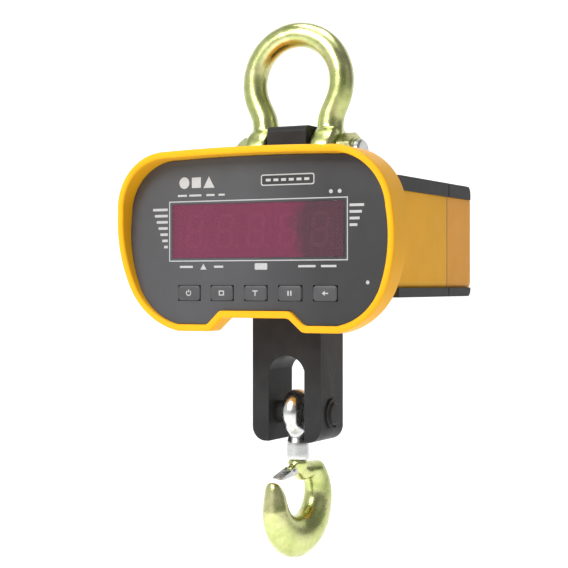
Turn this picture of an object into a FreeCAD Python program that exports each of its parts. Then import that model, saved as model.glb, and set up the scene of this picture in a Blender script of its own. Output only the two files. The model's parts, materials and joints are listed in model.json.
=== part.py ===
"""Crane scale: a shackle, a load cell in a two-shell housing, a yoke and a swivel hook.

Frame: +Z up, -Y is the side with the display, +X to the right of a person reading it.
The origin is the inner face of the shackle's crown, the point that a crane hook carries.
"""
import FreeCAD, Part
import math
import os
import re
import Sketcher
from FreeCAD import Placement, Rotation, Vector

doc = FreeCAD.newDocument("crane_scale")
sheet = doc.addObject("Spreadsheet::Sheet", "Sizes")

DRIVING = [
    # shackle
    ("bow_rod", 22, "diameter of the bow's rod"),
    ("bow_inside", 64, "widest gap inside the bow"),
    ("jaw_gap", 2, "clearance between the load cell and each ear"),
    ("ear_dia", 52, "outside diameter of each ear"),
    ("ear_thick", 22, "thickness of each ear"),
    ("pin_dia", 25, "diameter of the load pin"),
    ("pin_drop", 97, "load pin's axis below the crown"),
    ("bow_turn", 25, "angle that the round crown runs past its widest line"),
    ("bow_blend", 30, "radius that turns the legs upright"),
    ("pin_hex", 32, "across flats of the load pin's head and nut"),
    ("pin_head", 12, "thickness of the load pin's head"),
    ("pin_nut_high", 15, "thickness of the load pin's nut"),
    ("pin_tail", 6, "length of the load pin past its nut"),
    ("cotter_dia", 3, "diameter of the load pin's cotter"),
    ("fit", 0.05, "radial clearance of a running fit"),
    ("gap", 0.3, "clearance between pieces that pass each other"),
    # load cell and yoke
    ("cell_wide", 38, "load cell along X"),
    ("cell_deep", 46, "load cell along Y"),
    ("cell_rise", 25, "load cell's top above the load pin"),
    ("cell_drop", 138, "load cell's bottom below the load pin"),
    ("gauge_bore", 22, "bore that holds the strain gauges"),
    ("yoke_wide", 67, "yoke along X"),
    ("yoke_gap", 35, "slot of the yoke"),
    ("yoke_deep", 46, "yoke along Y"),
    ("yoke_bridge", 35, "thickness of the yoke above its slot"),
    ("yoke_high", 115, "yoke from top to bottom"),
    ("yoke_corner", 12, "chamfer of the yoke's lower corners"),
    ("hook_pin_dia", 20, "diameter of the hook pin"),
    ("hook_pin_rise", 24.4, "hook pin's axis above the yoke's bottom"),
    ("hook_pin_cap", 27, "diameter of the hook pin's head"),
    ("hook_pin_head", 3, "thickness of the hook pin's head"),
    ("ring_thick", 1.5, "thickness of the hook pin's retaining ring"),
    ("ring_groove", 1.5, "depth of the groove for that ring"),
    ("ring_wide", 3.5, "width of that ring outside the pin"),
    ("ring_open", 8, "opening of that ring"),
    ("yoke_bolt_dia", 16, "diameter of the bolt from the yoke into the load cell"),
    ("bolt_seat", 9, "seat of that bolt's head above the top of the slot"),
    ("bolt_head", 10, "thickness of that bolt's head"),
    # swivel and hook
    ("eye_dia", 42, "outside diameter of the hook's eye"),
    ("eye_thick", 18, "thickness of the hook's eye"),
    ("boss_dia", 20, "outside diameter of the swivel boss"),
    ("boss_drop", 42.4, "swivel boss's lower face below the hook pin"),
    ("chamber_dia", 14.4, "bore of the boss around the swivel nut"),
    ("chamber_high", 12, "height of that bore"),
    ("boss_floor", 6, "thickness of the boss below the swivel nut"),
    ("stem_dia", 10, "diameter of the hook's stem"),
    ("collar_dia", 18, "diameter of the collar on top of the hook"),
    ("collar_high", 5, "height of that collar"),
    ("bowl_dia", 40, "inside diameter of the hook's bowl"),
    ("bowl_drop", 71.9, "centre of the bowl below the hook pin"),
    ("hook_thick", 37.5, "thickness of the hook below the load"),
    ("bowl_shift", 3, "centre of the bowl ahead of the stem, towards the tip"),
    ("hook_turn", -10, "angle that the hook hangs turned about its stem"),
    ("latch_pin_dia", 4, "diameter of the safety latch's pin"),
    ("latch_ahead", 11, "latch pin ahead of the stem"),
    ("latch_drop", 9.2, "latch pin below the swivel boss"),
    ("latch_slope", 20, "slope of the closed latch"),
    ("latch_long", 20, "safety latch from its pin to its end"),
    ("latch_lug", 7, "width of the lug that carries the safety latch"),
    ("latch_strip", 1.4, "thickness of the safety latch's strip"),
    ("washer_thick", 1.5, "thickness of the swivel washer"),
    ("stem_short", 2, "end of the hook's stem below the top of its chamber"),
    # housing
    ("face_drop", 172, "centre of the display face below the crown"),
    ("body_wide", 236, "housing along X"),
    ("body_high", 101, "housing along Z"),
    ("front_joint", 62, "front joint of the middle housing ahead of the load pin"),
    ("rear_joint", 62, "rear joint of the middle housing behind the load pin"),
    ("cover_deep", 71, "depth of the rear cover"),
    ("cover_round", 13, "radius around the rear cover's back face"),
    ("body_round", 14, "radius of the housing's long edges"),
    ("wall", 3.5, "wall of the housing"),
    ("gasket", 1.2, "thickness of each housing gasket"),
    ("hump_wide", 100, "width of the raised walls around the shackle's ears"),
    ("hump_rise", 29, "height of those walls above the housing"),
    ("hump_wall", 7, "thickness of those walls"),
    ("shoulder_run", 20, "run of the slope beside those walls"),
    ("shoulder_rise", 14, "height of that slope above the housing"),
    ("well_gap", 5, "clearance under the turning ears"),
    ("well_side", 2, "clearance ahead of and behind the turning ears"),
    ("well_long", 160, "well for the shackle's ears along X"),
    ("seal_gap", 3, "gap between the load cell and the housing, filled by a seal"),
    ("screw_inset", 14, "housing screws inside the outer faces"),
    ("screw_dia", 4, "diameter of the housing screws"),
    ("screw_grip", 14, "length of a housing screw's thread in the middle housing"),
    ("screw_boss", 6, "radius of the pillars that take the housing screws"),
    ("shoulder_lean", 5, "run of the raised walls' ends above the slope"),
    ("seal_proud", 2, "height of each seal outside the wall that it closes"),
    ("bracket_thick", 3, "thickness of the load cell's brackets"),
    ("bracket_gap", 2.8, "clearance between those brackets and the gauge covers"),
    ("bracket_foot", 22, "length of their feet"),
    ("bracket_hole_out", 12, "floor screws beside the brackets"),
    ("bracket_hole_in", 13, "bracket screws inside the load cell's faces"),
    ("bracket_grip", 6, "length of the bracket screws in the load cell"),
    # display face
    ("face_wide", 262, "display surround along X"),
    ("face_top", 75, "display surround's top above its centre"),
    ("face_bottom", 80, "display surround's lobes below its centre"),
    ("notch_wide", 62, "flat of the notch between the lobes"),
    ("notch_rise", 12, "height of that notch above the lobes"),
    ("crown_in", 55, "end of the surround's flat top inside its widest line"),
    ("crown_down", 53, "lower end of its upper corners below its top"),
    ("side_taper", 10, "narrowing of its sides towards the lobes"),
    ("side_low", 35, "upper end of its lower corners above the lobes"),
    ("lobe_in", 55, "end of the lobes' flat inside the widest line"),
    ("notch_run", 13, "run of the slopes beside the notch"),
    ("rim", 6, "width of the surround's rim"),
    ("ledge", 3, "ledge that the panel rests on"),
    ("panel_front", 80, "panel's front face ahead of the load pin"),
    ("panel_thick", 2.5, "thickness of the panel"),
    ("visor", 21, "depth of the surround ahead of the panel at its top"),
    ("sill", 2.4, "depth of the surround ahead of the panel at its bottom"),
    ("window_wide", 164, "display window along X"),
    ("window_high", 46.5, "display window along Z"),
    ("window_rise", 6.2, "display window's centre above the face centre"),
    ("key_wide", 22, "key along X"),
    ("key_high", 13, "key along Z"),
    ("key_pitch", 32.5, "distance between keys"),
    ("key_drop", 47, "keys below the face centre"),
    ("key_travel", 1, "travel of a key"),
    ("key_proud", 1.4, "height of a key above the panel"),
    ("key_flange", 1.5, "flange around a key, behind the panel"),
    ("wire_high", 36, "height of the opening for the wires behind the panel"),
    # power and electronics
    ("board_thick", 1.6, "thickness of a circuit board"),
    ("board_gap", 5.5, "front of the keypad and display boards ahead of the surround's plate"),
    ("board_spare", 12, "display board's width past the window"),
    ("board_edge", 22, "main board inside the housing's side"),
    ("post_dia", 5, "diameter of the boards' standoffs"),
    ("post_high", 5, "standoff of the main board"),
    ("switch_wide", 6, "width of a key's switch"),
    ("battery_wide", 100, "battery along X"),
    ("battery_deep", 60, "battery along Y"),
    ("battery_high", 52, "battery along Z"),
    ("door_wide", 120, "battery door along X"),
    ("door_high", 68, "battery door along Z"),
    ("door_rise", 3, "battery door's centre above the face centre"),
    ("door_lap", 6, "battery door's overlap around its opening"),
    ("door_thick", 3, "thickness of the battery door"),
    ("door_pin_dia", 3, "diameter of the door's hinge pin"),
    ("knuckle_dia", 7, "outside diameter of the hinge knuckles"),
    ("knob_dia", 14, "diameter of the door's thumb screw"),
    ("knob_high", 7, "height of that screw's knob"),
    ("socket_dia", 14, "diameter of the charging socket"),
    ("socket_in", 33, "charging socket inside the housing's side"),
    ("socket_drop", 22, "charging socket below the face centre"),
    ("socket_lip", 1.5, "rim of the charging socket outside the cover"),
    ("cap_reach", 13, "socket cap's hinge beside the socket"),
    ("cap_stand", 2.8, "that hinge behind the cover"),
    ("cap_pin_dia", 2, "diameter of that hinge's pin"),
    ("cap_knuckle_dia", 5, "outside diameter of that hinge"),
    ("cap_knuckle", 8, "length of the cap's own knuckle"),
    ("cap_hinge_long", 14, "length of the whole hinge"),
    ("bumper_thick", 2, "thickness of the rubber bumpers"),
    ("bumper_upper", 12, "height of the upper bumper on the housing's side"),
    ("bumper_lower", 8, "height of the lower bumper on the housing's side"),
    ("bumper_round", 7, "radius at the rear end of the bumpers"),
    ("antenna_dia", 9, "diameter of the antenna"),
    ("antenna_in", 25, "antenna inside the housing's left side"),
    ("antenna_ahead", 19, "antenna ahead of the rear joint"),
    ("antenna_nut_high", 5, "height of the antenna's nut"),
    ("antenna_high", 34, "antenna above its nut"),
    ("cable_dia", 3, "diameter of the load cell's cable"),
]

for row, (alias, value, meaning) in enumerate(DRIVING, start=1):
    sheet.set(f"A{row}", meaning)
    sheet.set(f"B{row}", str(value))
    sheet.setAlias(f"B{row}", alias)
doc.recompute()

SIZE = {alias: value for alias, value, meaning in DRIVING}
ALIASES = re.compile(r"\b(" + "|".join(SIZE) + r")\b")


def linked(text):
    """The same formula with every size read from the sheet."""
    return ALIASES.sub(r"Sizes.\1", str(text))


def bind(thing, prop, text):
    thing.setExpression(prop, linked(text))


def number(text):
    """What a formula comes to with the sizes as they are now."""
    return float(sheet.evalExpression(linked(text)))


def place(thing, x="0", y="0", z="0"):
    bind(thing, "Placement.Base.x", x)
    bind(thing, "Placement.Base.y", y)
    bind(thing, "Placement.Base.z", z)
    return thing


# ---------------------------------------------------------------- building blocks
def about(size, centre="0"):
    """The two ends of a length that is centred on a place."""
    return (f"({centre}) - ({size}) / 2", f"({centre}) + ({size}) / 2")


def box(name, x, y, z):
    """A block between two places along each axis."""
    block = doc.addObject("Part::Box", name)
    for prop, (low, high) in zip(("Length", "Width", "Height"), (x, y, z)):
        bind(block, prop, f"({high}) - ({low})")
    return place(block, x[0], y[0], z[0])


TURN = {"x": Rotation(Vector(0, 1, 0), 90), "y": Rotation(Vector(1, 0, 0), -90), "z": Rotation()}


def rod(name, axis, radius, ends, x="0", y="0", z="0"):
    """A cylinder along an axis, between two places on it."""
    bar = doc.addObject("Part::Cylinder", name)
    bar.Placement = Placement(Vector(), TURN[axis])
    bind(bar, "Radius", radius)
    bind(bar, "Height", f"({ends[1]}) - ({ends[0]})")
    where = {"x": x, "y": y, "z": z}
    where[axis] = ends[0]
    return place(bar, **where)


def hexagon(name, axis, flats, ends, x="0", y="0", z="0"):
    """A six-sided bar along an axis, by its width across flats."""
    bar = doc.addObject("Part::Prism", name)
    bar.Polygon = 6
    bar.Placement = Placement(Vector(), TURN[axis])
    bind(bar, "Circumradius", f"({flats}) / sqrt(3)")
    bind(bar, "Height", f"({ends[1]}) - ({ends[0]})")
    where = {"x": x, "y": y, "z": z}
    where[axis] = ends[0]
    return place(bar, **where)


def fuse(name, *pieces):
    whole = doc.addObject("Part::MultiFuse", name)
    whole.Shapes = list(pieces)
    return whole


def cut(name, base, *tools):
    tool = tools[0] if len(tools) == 1 else fuse(name + "_tools", *tools)
    rest = doc.addObject("Part::Cut", name)
    rest.Base = base
    rest.Tool = tool
    return rest


def common(name, first, second):
    both = doc.addObject("Part::Common", name)
    both.Base = first
    both.Tool = second
    return both


def group(name, pieces):
    """Like pieces that stay separate solids in one node."""
    several = doc.addObject("Part::Compound", name)
    several.Links = list(pieces)
    return several


def rounded(name, base, radius, wanted):
    """Round the edges of a block whose middle points pass a test."""
    doc.recompute()
    edges = []
    for index, edge in enumerate(base.Shape.Edges, start=1):
        if wanted(edge.CenterOfMass, edge):
            edges.append((index, number(radius), number(radius)))
    fillet = doc.addObject("Part::Fillet", name)
    fillet.Base = base
    fillet.Edges = edges
    return fillet


def runs_along(edge, axis):
    """Whether a straight edge is parallel to an axis."""
    direction = edge.Vertexes[-1].Point - edge.Vertexes[0].Point
    others = [part for part in "xyz" if part != axis]
    return all(abs(getattr(direction, part)) < 1e-6 for part in others)


SKETCH_TURN = {"XZ": Rotation(Vector(1, 0, 0), 90), "YZ": Rotation(0.5, 0.5, 0.5, 0.5), "XY": Rotation()}


def outline(name, plane, corners, x="0", y="0", z="0", body=None):
    """A closed sketch through corners given counter-clockwise as (across, up, radius).

    The radius belongs to the edge that leaves the corner: None makes it straight, and
    otherwise the edge is an arc that bulges outwards.
    """
    owner = body.newObject if body else doc.addObject
    sketch = owner("Sketcher::SketchObject", name)
    sketch.Placement = Placement(Vector(), SKETCH_TURN[plane])
    place(sketch, x, y, z)
    points = [Vector(number(across), number(up), 0) for across, up, radius in corners]
    for index, (start, corner) in enumerate(zip(points, corners)):
        end = points[(index + 1) % len(points)]
        if corner[2] is None:
            sketch.addGeometry(Part.LineSegment(start, end), False)
            continue
        chord = end - start
        radius = number(corner[2])
        inwards = Vector(-chord.y, chord.x, 0).normalize()
        centre = (start + end) / 2 + inwards * math.sqrt(radius ** 2 - (chord.Length / 2) ** 2)
        circle = Part.Circle(centre, Vector(0, 0, 1), radius)
        first = math.atan2(start.y - centre.y, start.x - centre.x)
        last = math.atan2(end.y - centre.y, end.x - centre.x)
        if last < first:
            last += 2 * math.pi
        sketch.addGeometry(Part.ArcOfCircle(circle, first, last), False)
    for index in range(len(points)):
        following = (index + 1) % len(points)
        sketch.addConstraint(Sketcher.Constraint("Coincident", index, 2, following, 1))
    for index, (point, (across, up, radius)) in enumerate(zip(points, corners)):
        fixed = sketch.addConstraint(Sketcher.Constraint("DistanceX", index, 1, point.x))
        sketch.setExpression(f"Constraints[{fixed}]", linked(across))
        fixed = sketch.addConstraint(Sketcher.Constraint("DistanceY", index, 1, point.y))
        sketch.setExpression(f"Constraints[{fixed}]", linked(up))
        if radius is not None:
            fixed = sketch.addConstraint(Sketcher.Constraint("Radius", index, number(radius)))
            sketch.setExpression(f"Constraints[{fixed}]", linked(radius))
    return sketch


def extrude(name, base, direction, length):
    solid = doc.addObject("Part::Extrusion", name)
    solid.Base = base
    solid.DirMode = "Custom"
    solid.Dir = direction
    solid.Solid = True
    bind(solid, "LengthFwd", length)
    return solid


parts = {}


def keep(name, thing):
    """Make an object one of the model's pieces, under its own name."""
    thing.Label = name
    parts[name] = thing
    return thing


def shaped(name, shape):
    """A piece whose shape is built here from the sheet's sizes."""
    piece = doc.addObject("Part::Feature", name + "_shape")
    piece.Shape = shape
    return piece


# Places that several pieces share.
PIN = "(-pin_drop)"
JAW = "(cell_wide + 2 * jaw_gap)"
CELL_TOP = "(-pin_drop + cell_rise)"
CELL_BOTTOM = "(-pin_drop - cell_drop)"
YOKE_TOP = CELL_BOTTOM
YOKE_BOTTOM = "(-pin_drop - cell_drop - yoke_high)"
HOOK_PIN = "(-pin_drop - cell_drop - yoke_high + hook_pin_rise)"
FACE = "(-face_drop)"
BODY_TOP = "(-face_drop + body_high / 2)"
BODY_BOTTOM = "(-face_drop - body_high / 2)"
REAR = "(rear_joint + cover_deep)"


# ---------------------------------------------------------------- shackle
def make_bow():
    """A round bar bent into a bow, with a forged ear at each end."""
    rod_r = SIZE["bow_rod"] / 2
    reach = SIZE["bow_inside"] / 2 + rod_r
    leg = (number(JAW) + SIZE["ear_thick"]) / 2
    turn = math.radians(SIZE["bow_turn"])
    blend = SIZE["bow_blend"]
    crown = Vector(0, 0, -SIZE["bow_inside"] / 2)
    low = Vector(reach * math.cos(turn), 0, crown.z - reach * math.sin(turn))
    run = (low.x - leg - blend * (1 - math.cos(turn))) / math.sin(turn)
    bend = low - Vector(math.sin(turn), 0, math.cos(turn)) * run
    centre = bend + Vector(math.cos(turn), 0, -math.sin(turn)) * blend
    upright = centre - Vector(blend, 0, 0)
    middle = centre - Vector(math.cos(turn / 2), 0, -math.sin(turn / 2)) * blend
    foot = Vector(leg, 0, -SIZE["pin_drop"])

    def left(point):
        return Vector(-point.x, point.y, point.z)

    edges = [
        Part.LineSegment(foot, upright).toShape(),
        Part.Arc(upright, middle, bend).toShape(),
        Part.LineSegment(bend, low).toShape(),
        Part.Arc(low, crown + Vector(0, 0, reach), left(low)).toShape(),
        Part.LineSegment(left(low), left(bend)).toShape(),
        Part.Arc(left(bend), left(middle), left(upright)).toShape(),
        Part.LineSegment(left(upright), left(foot)).toShape(),
    ]
    section = Part.Wire(Part.Circle(foot, Vector(0, 0, 1), rod_r).toShape())
    bar = Part.Wire(edges).makePipeShell([section], True, False)
    ears = []
    for side in (-1, 1):
        inner = Vector(side * number(JAW) / 2, 0, -SIZE["pin_drop"])
        ears.append(Part.makeCylinder(SIZE["ear_dia"] / 2, SIZE["ear_thick"], inner, Vector(side, 0, 0)))
    return bar.fuse(ears)


bow = shaped("shackle_bow", make_bow())
pin_hole = rod("pin_hole", "x", "pin_dia / 2 + fit", about(f"2 * ({JAW} + ear_thick)"), z=PIN)
keep("shackle_bow", cut("shackle_bow_bored", bow, pin_hole))

EARS = f"({JAW} / 2 + ear_thick)"
pin_shank = rod("pin_shank", "x", "pin_dia / 2",
                (f"-{EARS} - gap", f"{EARS} + gap + pin_nut_high + pin_tail"), z=PIN)
pin_head = hexagon("pin_head_block", "x", "pin_hex", (f"-{EARS} - gap - pin_head", f"-{EARS} - gap"), z=PIN)
pin_point = rounded("pin_end", pin_shank, "pin_tail / 4", lambda at, edge: at.x > number(EARS))
COTTER_X = f"({EARS} + gap + pin_nut_high + pin_tail / 2)"
cotter_hole = rod("pin_cotter_hole", "y", "cotter_dia / 2 + gap", ("-pin_dia", "pin_dia"), x=COTTER_X, z=PIN)
keep("shackle_pin", cut("shackle_pin_drilled", fuse("shackle_pin_blank", pin_point, pin_head), cotter_hole))

nut_blank = hexagon("nut_blank", "x", "pin_hex", (f"{EARS} + gap", f"{EARS} + gap + pin_nut_high"), z=PIN)
nut_bore = rod("nut_bore", "x", "pin_dia / 2", (EARS, f"{EARS} + pin_nut_high * 2"), z=PIN)
keep("shackle_nut", cut("shackle_nut_bored", nut_blank, nut_bore))


# the cotter lies across the pin, with its eye towards the display
COTTER_REACH = "(pin_dia / 2 + cotter_dia / 2)"
cotter_stem = rod("cotter_stem", "y", "cotter_dia / 2", (f"-{COTTER_REACH}", COTTER_REACH), x=COTTER_X, z=PIN)
cotter_eye = doc.addObject("Part::Torus", "cotter_eye")
cotter_eye.Placement = Placement(Vector(), TURN["x"])
bind(cotter_eye, "Radius1", "cotter_dia * 0.8")
bind(cotter_eye, "Radius2", "cotter_dia * 0.35")
place(cotter_eye, COTTER_X, f"-{COTTER_REACH} - cotter_dia * 0.8", PIN)
keep("shackle_cotter", fuse("shackle_cotter_whole", cotter_stem, cotter_eye))

# ---------------------------------------------------------------- load cell
cell_block = box("cell_block", about("cell_wide"), about("cell_deep"), (CELL_BOTTOM, CELL_TOP))
cell_block = rounded("cell_rounded", cell_block, "cell_deep / 8",
                     lambda at, edge: at.z > number(PIN) and runs_along(edge, "x"))
cell_pin_hole = rod("cell_pin_hole", "x", "pin_dia / 2 + fit", ("-cell_wide", "cell_wide"), z=PIN)
GAUGE = "(-pin_drop - cell_drop / 2 - gauge_bore / 4)"
gauge_bores = [
    rod(f"gauge_bore_{name}", "x", "gauge_bore / 2", ("-cell_wide", "cell_wide"),
        z=f"{GAUGE} {sign} gauge_bore * 0.45")
    for name, sign in (("upper", "+"), ("lower", "-"))
]
bolt_hole = rod("cell_bolt_hole", "z", "yoke_bolt_dia / 2",
                (f"{CELL_BOTTOM} - 1", f"{CELL_BOTTOM} + yoke_bolt_dia * 1.6"))
lead_hole = rod("cell_lead_hole", "y", "cable_dia / 2", ("-cell_deep", "0"), z=GAUGE)
cell_bored = cut("load_cell_bored", cell_block, cell_pin_hole, *gauge_bores, bolt_hole, lead_hole)

COVER_HIGH = "(gauge_bore * 2.2)"
covers = []
for side, name in ((-1, "left"), (1, "right")):
    near, far = ("cell_wide / 2", "cell_wide / 2 + wall / 2")
    ends = (near, far) if side > 0 else (f"-({far})", f"-({near})")
    covers.append(box(f"gauge_cover_{name}", ends, about("cell_deep - 8"), about(COVER_HIGH, GAUGE)))
keep("gauge_covers", group("gauge_covers_pair", covers))

# ---------------------------------------------------------------- yoke
yoke_half = "yoke_wide / 2"
yoke_sketch = outline("yoke_outline", "XZ", [
    (f"-{yoke_half} + yoke_corner", YOKE_BOTTOM, None),
    (f"{yoke_half} - yoke_corner", YOKE_BOTTOM, "yoke_corner * 1.05"),
    (yoke_half, f"{YOKE_BOTTOM} + yoke_corner", None),
    (yoke_half, YOKE_TOP, None),
    (f"-{yoke_half}", YOKE_TOP, None),
    (f"-{yoke_half}", f"{YOKE_BOTTOM} + yoke_corner", "yoke_corner * 1.05"),
], y="yoke_deep / 2")
yoke_blank = extrude("yoke_blank", yoke_sketch, Vector(0, -1, 0), "yoke_deep")
SLOT_TOP = f"({YOKE_TOP} - yoke_bridge)"
slot_sketch = outline("yoke_slot", "XZ", [
    ("-yoke_gap / 2", f"{YOKE_BOTTOM} - 5", None),
    ("yoke_gap / 2", f"{YOKE_BOTTOM} - 5", None),
    ("yoke_gap / 2", f"{SLOT_TOP} - yoke_gap / 2", "yoke_gap * 0.52"),
    ("-yoke_gap / 2", f"{SLOT_TOP} - yoke_gap / 2", None),
], y="yoke_deep")
yoke_slot = extrude("yoke_slot_cut", slot_sketch, Vector(0, -1, 0), "yoke_deep * 2")
hook_pin_hole = rod("yoke_pin_hole", "x", "hook_pin_dia / 2 + fit", ("-yoke_wide", "yoke_wide"), z=HOOK_PIN)
HEAD_SEAT = f"({SLOT_TOP} + bolt_seat)"
HEAD_FOOT = f"({HEAD_SEAT} - bolt_head)"
yoke_bolt_hole = rod("yoke_bolt_hole", "z", "yoke_bolt_dia / 2 + gap", (HEAD_FOOT, f"{YOKE_TOP} + 1"))
head_seat = rod("yoke_bolt_seat", "z", "yoke_bolt_dia * 0.9", (HEAD_FOOT, HEAD_SEAT))
keep("yoke", cut("yoke_cut", yoke_blank, yoke_slot, hook_pin_hole, yoke_bolt_hole, head_seat))

bolt_shank = rod("yoke_bolt_shank", "z", "yoke_bolt_dia / 2",
                 (HEAD_SEAT, f"{CELL_BOTTOM} + yoke_bolt_dia * 1.5"))
bolt_head = hexagon("yoke_bolt_head", "z", "yoke_bolt_dia * 1.5", (HEAD_FOOT, HEAD_SEAT))
keep("yoke_bolt", fuse("yoke_bolt_whole", bolt_shank, bolt_head))

YOKE_SIDE = "(yoke_wide / 2 + gap)"
RING = (YOKE_SIDE, f"{YOKE_SIDE} + ring_thick")
hook_pin_shank = rod("hook_pin_shank", "x", "hook_pin_dia / 2",
                     (f"-{YOKE_SIDE}", f"{YOKE_SIDE} + 2 * ring_thick + gap"), z=HOOK_PIN)
hook_pin_head = rod("hook_pin_head_disc", "x", "hook_pin_cap / 2",
                    (f"-{YOKE_SIDE} - hook_pin_head", f"-{YOKE_SIDE}"), z=HOOK_PIN)
groove_outer = rod("ring_groove_outer", "x", "hook_pin_dia", RING, z=HOOK_PIN)
groove_inner = rod("ring_groove_inner", "x", "hook_pin_dia / 2 - ring_groove", RING, z=HOOK_PIN)
ring_groove = cut("ring_groove_whole", groove_outer, groove_inner)
keep("hook_pin", cut("hook_pin_turned", fuse("hook_pin_blank", hook_pin_shank, hook_pin_head), ring_groove))
ring_disc = rod("ring_disc", "x", "hook_pin_dia / 2 + ring_wide", RING, z=HOOK_PIN)
ring_bore = rod("ring_bore", "x", "hook_pin_dia / 2 - ring_groove", RING, z=HOOK_PIN)
ring_mouth = box("ring_mouth", RING, about("ring_open"), (f"{HOOK_PIN} - hook_pin_dia", HOOK_PIN))
keep("hook_pin_ring", cut("hook_pin_ring_cut", ring_disc, ring_bore, ring_mouth))

# ---------------------------------------------------------------- swivel and hook
BOSS_FOOT = f"({HOOK_PIN} - boss_drop)"
CHAMBER_FLOOR = f"({BOSS_FOOT} + boss_floor)"
eye_disc = rod("eye_disc", "x", "eye_dia / 2", about("eye_thick"), z=HOOK_PIN)
eye_disc = rounded("eye_rounded", eye_disc, "eye_thick / 4", lambda at, edge: edge.Length > number("eye_dia"))
boss = rod("swivel_boss", "z", "boss_dia / 2", (BOSS_FOOT, f"{HOOK_PIN} - eye_dia / 2 + 4"))
eye_hole = rod("eye_hole", "x", "hook_pin_dia / 2 + fit", about("eye_thick * 2"), z=HOOK_PIN)
chamber = rod("boss_chamber", "z", "chamber_dia / 2", (CHAMBER_FLOOR, f"{CHAMBER_FLOOR} + chamber_high"))
throat = rod("boss_throat", "z", "stem_dia / 2 + fit", (f"{BOSS_FOOT} - 1", f"{CHAMBER_FLOOR} + 1"))
keep("hook_eye", cut("hook_eye_cut", fuse("hook_eye_blank", eye_disc, boss), eye_hole, chamber, throat))

washer_blank = rod("washer_blank", "z", "chamber_dia / 2 - fit",
                   (CHAMBER_FLOOR, f"{CHAMBER_FLOOR} + washer_thick"))
washer_bore = rod("washer_bore", "z", "stem_dia / 2 + fit",
                  (f"{CHAMBER_FLOOR} - washer_thick", f"{CHAMBER_FLOOR} + 2 * washer_thick"))
keep("swivel_washer", cut("swivel_washer_bored", washer_blank, washer_bore))
swivel_nut_blank = hexagon("swivel_nut_blank", "z", "chamber_dia * 0.84",
                           (f"{CHAMBER_FLOOR} + washer_thick + fit",
                            f"{CHAMBER_FLOOR} + chamber_high - 2 * washer_thick"))
swivel_nut_bore = rod("swivel_nut_bore", "z", "stem_dia / 2",
                      (CHAMBER_FLOOR, f"{CHAMBER_FLOOR} + chamber_high"))
keep("swivel_nut", cut("swivel_nut_bored", swivel_nut_blank, swivel_nut_bore))


LATCH_Z = f"({BOSS_FOOT} - latch_drop)"


def make_hook():
    """A forged hook: round neck, swollen bowl, and a blunt tip, all on one bent centre line."""
    stem_foot = number(BOSS_FOOT) - SIZE["gap"]
    bowl = SIZE["bowl_dia"] / 2
    thick = SIZE["hook_thick"] / 2
    centre_z = number(HOOK_PIN) - SIZE["bowl_drop"]
    sections = []

    def section(ahead, height, slope, radial, lateral):
        """An oval across the centre line, which runs at a slope (0 is down, 90 is towards +Y)."""
        slope = math.radians(slope)
        normal = Vector(0, math.sin(slope), -math.cos(slope))
        oval = Part.Ellipse(Vector(), max(radial, lateral), min(radial, lateral) - 1e-3).toShape()
        across = Vector(0, math.cos(slope), math.sin(slope))
        side = Vector(1, 0, 0)
        major, minor = (across, side) if radial >= lateral else (side, across)
        turn = Rotation(major, minor, major.cross(minor), "XYZ")
        oval.Placement = Placement(Vector(0, -ahead, height), turn)
        sections.append(Part.Wire(oval))

    section(0, stem_foot - SIZE["collar_high"] + 1, 0, 0.42 * thick, 0.41 * thick)
    section(-8, centre_z + 18.5, 60, 0.51 * thick, 0.52 * thick)
    swell = ((52, 0.61, 0.56), (78, 0.68, 0.6), (105, 0.76, 0.64), (130, 0.86, 0.69), (155, 0.95, 0.73),
             (180, 1.0, 0.75), (205, 0.93, 0.71), (230, 0.78, 0.65), (252, 0.64, 0.59))
    for angle, radial, lateral in swell:
        turn = math.radians(angle)
        reach = bowl + radial * thick
        ahead = SIZE["bowl_shift"] - reach * math.sin(turn)
        section(ahead, centre_z + reach * math.cos(turn), 90 - angle, radial * thick, lateral * thick)
    arm = SIZE["bowl_shift"] + bowl + 0.52 * thick
    section(arm + 1, centre_z + 1, -183, 0.5 * thick, 0.5 * thick)
    section(arm + 2.5, centre_z + 8, -190, 0.36 * thick, 0.4 * thick)
    section(arm + 4, centre_z + 13, -194, 0.18 * thick, 0.24 * thick)
    forging = Part.makeLoft(sections, True, False)
    down = Vector(0, 0, -1)
    collar = Part.makeCylinder(SIZE["collar_dia"] / 2, SIZE["collar_high"], Vector(0, 0, stem_foot), down)
    stem_top = number(CHAMBER_FLOOR) + SIZE["chamber_high"] - SIZE["stem_short"]
    stem = Part.makeCylinder(SIZE["stem_dia"] / 2, stem_top - stem_foot + 1, Vector(0, 0, stem_top), down)
    lug_wall = SIZE["latch_pin_dia"] * 0.75
    lug_foot = number(LATCH_Z) - lug_wall
    lug_top = stem_foot - SIZE["collar_high"] + 1
    lug_ahead = SIZE["latch_ahead"] + lug_wall
    lug = Part.makeBox(SIZE["latch_lug"], lug_ahead, lug_top - lug_foot,
                       Vector(-SIZE["latch_lug"] / 2, -lug_ahead, lug_foot))
    return forging.fuse([collar, stem, lug])


def hang_turned(thing):
    """Turn a piece of the hook about the stem."""
    bind(thing, "Placement.Rotation.Angle", "hook_turn")
    return thing


hook_blank = shaped("hook", make_hook())
latch_bore = rod("latch_bore", "x", "latch_pin_dia / 2", about("latch_long * 2"), y="-latch_ahead", z=LATCH_Z)
hook_cut = cut("hook_bored", hook_blank, latch_bore)
hook_cut.Placement = Placement(Vector(), Rotation(Vector(0, 0, 1), SIZE["hook_turn"]))
keep("hook", hang_turned(hook_cut))

latch_pin = group("latch_pin_turned", [
    rod("latch_pin_rod", "x", "latch_pin_dia / 2", about("latch_lug + latch_pin_dia * 1.5"),
        y="-latch_ahead", z=LATCH_Z)])
latch_pin.Placement = Placement(Vector(), Rotation(Vector(0, 0, 1), SIZE["hook_turn"]))
keep("latch_pin", hang_turned(latch_pin))


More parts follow.
